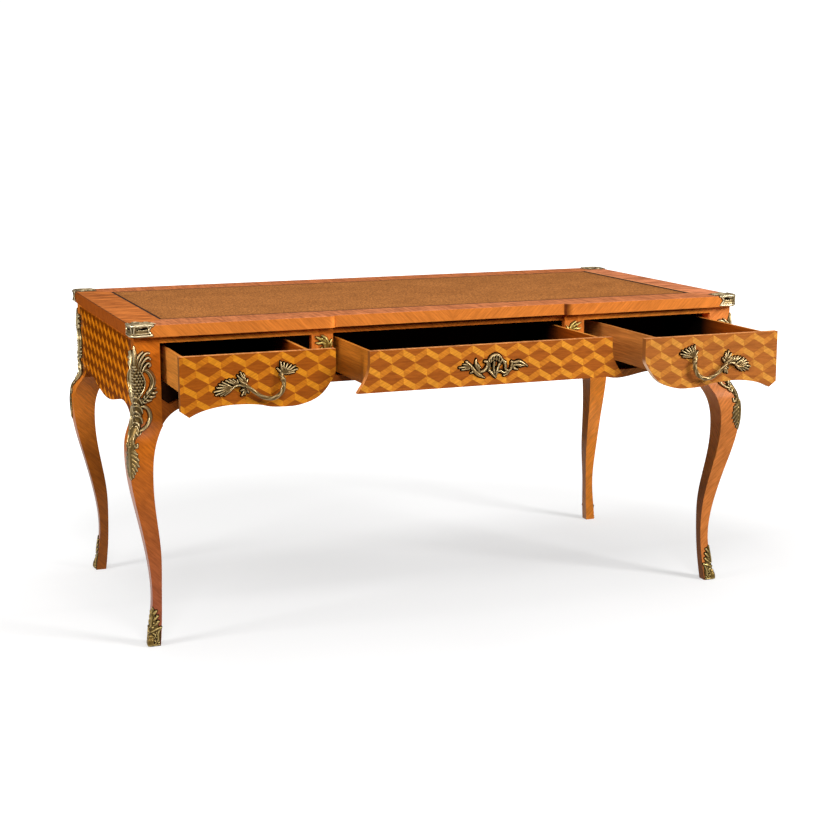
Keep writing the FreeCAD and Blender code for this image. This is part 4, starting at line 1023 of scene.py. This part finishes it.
def lip_relief():
    """Top of a cap: scrolls and leaves that fan from the corner, with openings between them painted black
    as shade.
    """
    sheet = Relief((-5, -5), (68, 68), cell=0.8, border=0.5)
    stroke = sheet.stroke
    stroke([(46, 8), (22, 7), (10, 10), (7, 22), (8, 46)], (6, 9, 9, 9, 6), (0.5, 0.6, 0.6, 0.6, 0.5))
    stroke([(14, 14), (40, 40)], (14, 19), (0.4, 0.4))
    stroke([(50, 1), (22, 0.5), (7, 6), (0.5, 22), (1, 50)], (2.4, 3, 3.2, 3, 2.4),
           (1.8, 2.2, 2.2, 2.2, 1.8))
    for angle, reach in ((8, 52), (24, 53), (38, 52), (52, 52), (66, 53), (82, 52)):
        c, d = math.cos(math.radians(angle)), math.sin(math.radians(angle))
        stroke([(10 + 4 * c, 10 + 4 * d), (10 + 0.5 * reach * c - 3 * d, 10 + 0.5 * reach * d + 3 * c),
                (8 + reach * c, 8 + reach * d)], (2.2, 3.6, 2.4), (1.8, 2.1, 1.6))
    for u, v in ((52, 20), (43, 43), (20, 52), (34, 14), (14, 34)):
        ring = [(u + 5 * math.cos(a), v + 5 * math.sin(a)) for a in np.linspace(0, 5.4, 9)]
        stroke(ring, (1.9, 1.9), (2.2, 2.2))
    for first, last in (((27, 22), (33, 26)), ((22, 27), (26, 33)),
                        ((43, 30), (47, 32)), ((30, 43), (32, 47))):
        sheet.hollow(first, last, 2.2)
    q = TOP_RADIUS - np.stack([sheet.u, sheet.v])
    outside = np.hypot(*np.maximum(q, 0)) + np.minimum(q.max(axis=0), 0) - TOP_RADIUS
    sheet.trim(2.6 - outside)
    return sheet


def sabot_relief():
    """Shoe of a leg: leaves and scrolls on a plate that comes to a point, a boss in front."""
    sheet = Relief((-30, -4), (30, 98), cell=0.7, border=1.6)
    pair = sheet.pair
    pair([(9, 2), (9, 30), (5, 62), (2, 90)], (15, 14, 6, 1.5), (1, 1, 1, 1))
    for path in ([(2, 74), (6, 80), (9, 84)], [(4, 62), (9, 67), (13, 72)], [(5, 50), (12, 54), (16, 59)]):
        pair(path, (2.6, 3.4, 3.2), (2.6, 4.2, 3.8))
    pair([(2, 36), (12, 41), (23, 44)], (3, 3.6, 3), (3.4, 4.4, 3.8))
    pair([(21, 40), (17, 28), (18, 15), (13, 5)], (2.4, 2.8, 2.6, 2.4), (3.4, 4.2, 4, 3.6))
    pair([(5, 32), (11, 27), (9, 20)], (2.2, 2.6, 2), (3.2, 4.4, 3.6))
    for u, v, size in ((4, 56, 2), (3, 46, 2), (13, 33, 1.8), (4, 24, 1.9), (14, 21, 1.6), (3, 14, 1.8),
                       (20, 8, 2.2)):
        pair([(u, v), (u + 1, v + 1.5)], (size, size), (4, 3.6))
    loop = [(9 + 4.5 * math.sin(a), 10 + 4.5 * math.cos(a)) for a in np.linspace(0, 5.4, 10)]
    pair(loop, (2, 2), (4.4, 4.2))
    pair([(4, 4), (14, 3.4), (23, 4)], (2.2, 2.4, 2), (3.6, 4, 3.4))
    sheet.stroke([(0, 9), (0, 14), (0, 22)], (10, 10, 8), (6.5, 6.5, 4.5))
    sheet.stroke([(0, 50), (0, 70), (0, 94)], (2.2, 2.6, 0.8), (3.4, 3.6, 2.4))
    sheet.trim(25.5 - np.abs(sheet.u))
    sheet.trim(sheet.v - 1.8)
    return sheet


CORNERS = {"front_left": (-1, -1), "front_right": (1, -1), "rear_left": (-1, 1), "rear_right": (1, 1)}
knee, cap, lip, shoe = knee_relief(), cap_relief(), lip_relief(), sabot_relief()
for corner, signs in CORNERS.items():
    piece = knee.mesh("cast_knee_" + corner, on_leg, signs, brass, rim=1.0)
    stand_in(piece, "desk", "knee_mount_" + corner)
    piece = cap.mesh("cast_cap_" + corner, on_edge, signs, pale_brass, rim=0.7, contrast=1.8)
    stand_in(piece, "desk", "corner_cap_" + corner)
    stand_in(lip.mesh("cast_lip_" + corner, on_lip, signs, pale_brass, rim=0.6, contrast=2.2), "desk")
    piece = shoe.mesh("cast_sabot_" + corner, on_leg, signs, sabot_brass, rim=0.6)
    stand_in(piece, "desk", "sabot_" + corner)


# Floor: its brightness for the camera, which grows outward and to the back so that a painted soft shade
# stays round the desk, and in reflections
FLOOR_SIZE = 60.0
FLOOR_LEVEL = 0.415
OUTWARD_RISE = 0.70
OUTWARD_RANGE = (1.08, 3.4)
BACK_RISE = 0.19
BACK_RANGE = (0.0, 0.55)
CLOUD_RISE = 0.004
SHINE = 0.9
SHINE_RANGE = (3.0, 2.2)


def floor_material():
    """Pale floor: for the camera a glow that fades to white, dimmer round the desk as painted shade, with
    the desk's shadow on it.
    """
    look = Look("studio_floor")
    x, y, z = look.axes
    reach = look.math("SQRT", look.plus(look.times(x, x), look.times(y, y)))
    level = look.plus(FLOOR_LEVEL, look.times(look.ramp(reach, *OUTWARD_RANGE), OUTWARD_RISE))
    level = look.plus(level, look.times(look.ramp(y, *BACK_RANGE), BACK_RISE))
    level = look.plus(level, look.times(look.noise(look.place, scale=3.0), CLOUD_RISE))
    look.set(Base_Color=(0.5, 0.5, 0.5, 1), Roughness=0.9, Specular_IOR_Level=0.0)
    white = (1, 1, 1, 1)
    glow = look.fill(look.add("ShaderNodeEmission"), white, level)
    seen = look.fill(look.add("ShaderNodeAddShader"), glow, look.shader.outputs[0])
    lit = look.fill(look.add("ShaderNodeBsdfDiffuse"), (0.2, 0.2, 0.2, 1))
    near = look.ramp(reach, *SHINE_RANGE)
    shine = look.fill(look.add("ShaderNodeEmission"), white, look.times(near, SHINE))
    path = look.add("ShaderNodeLightPath")
    other = look.pick(path.outputs["Is Glossy Ray"], lit, shine)
    look.link(look.pick(path.outputs["Is Camera Ray"], other, seen), look.output.inputs["Surface"])
    return look.material


bpy.ops.mesh.primitive_plane_add(size=FLOOR_SIZE, location=(0, 0, 0))
floor = bpy.context.object
floor.name = "floor"
floor.data.materials.append(floor_material())

# World: white for the camera, for the desk a soft light that grows with height
WORLD_SEEN = 1.05
WORLD_LOW = 0.05
WORLD_HIGH = 0.40
WORLD_RANGE = (0.1, 0.9)
scene.world = bpy.data.worlds.new("studio")
sky = Graph(scene.world, "ShaderNodeOutputWorld")
height = sky.parts(sky.add("ShaderNodeTexCoord").outputs["Generated"])[2]
strength = sky.blend(sky.ramp(height, *WORLD_RANGE), WORLD_LOW, WORLD_HIGH)
soft = sky.fill(sky.add("ShaderNodeBackground"), (1.0, 0.99, 0.97, 1), strength)
plain = sky.fill(sky.add("ShaderNodeBackground"), (1, 1, 1, 1), WORLD_SEEN)
by_camera = sky.add("ShaderNodeLightPath").outputs["Is Camera Ray"]
sky.link(sky.pick(by_camera, soft, plain), sky.output.inputs["Surface"])


def softbox(name, place, target, size, power):
    light = bpy.data.lights.new(name, "AREA")
    light.shape = "RECTANGLE"
    light.size, light.size_y = size
    light.energy = power
    lamp = bpy.data.objects.new(name, light)
    scene.collection.objects.link(lamp)
    lamp.location = place
    lamp.rotation_mode = "QUATERNION"
    lamp.rotation_quaternion = (Vector(target) - Vector(place)).to_track_quat("-Z", "Y")


softbox("overhead", place=(0.0, 0.2, 3.6), target=(0, 0, 0.4), size=(3.0, 1.6), power=26)
softbox("key_right", place=(2.9, -3.2, 2.3), target=(0, -0.2, 0.5), size=(1.2, 1.2), power=168)
softbox("fill_front", place=(-1.0, -3.6, 3.4), target=(0, -0.2, 0.5), size=(2.4, 1.4), power=114)
softbox("fill_left", place=(-4.0, -0.8, 1.9), target=(0, 0, 0.5), size=(1.1, 1.1), power=84)

# The photo's camera: lens in pixels of the photo, place in metres, angles in degrees
PHOTO_PIXELS = 840.0
LENS_PIXELS = 1649.197
SENSOR = 36.0
CAMERA_PLACE = (-1.5242, -4.1315, 1.2829)
CAMERA_TURN = -21.0057
CAMERA_TILT = 10.9411
CAMERA_ROLL = -0.18515
camera_data = bpy.data.cameras.new("camera")
camera_data.sensor_width = SENSOR
camera_data.lens = LENS_PIXELS / PHOTO_PIXELS * SENSOR
camera_data.clip_end = 200
camera = bpy.data.objects.new("camera", camera_data)
scene.collection.objects.link(camera)
scene.camera = camera
turn, tilt, roll = (math.radians(angle) for angle in (CAMERA_TURN, CAMERA_TILT, CAMERA_ROLL))
back = Vector((math.sin(turn) * math.cos(tilt), -math.cos(turn) * math.cos(tilt), math.sin(tilt)))
right = Vector((math.cos(turn), math.sin(turn), 0))
up = back.cross(right)
right, up = right * math.cos(roll) + up * math.sin(roll), up * math.cos(roll) - right * math.sin(roll)
spin = Matrix((right, up, back)).transposed().to_4x4()
camera.matrix_world = Matrix.Translation(CAMERA_PLACE) @ spin

scene.view_settings.view_transform = "Standard"
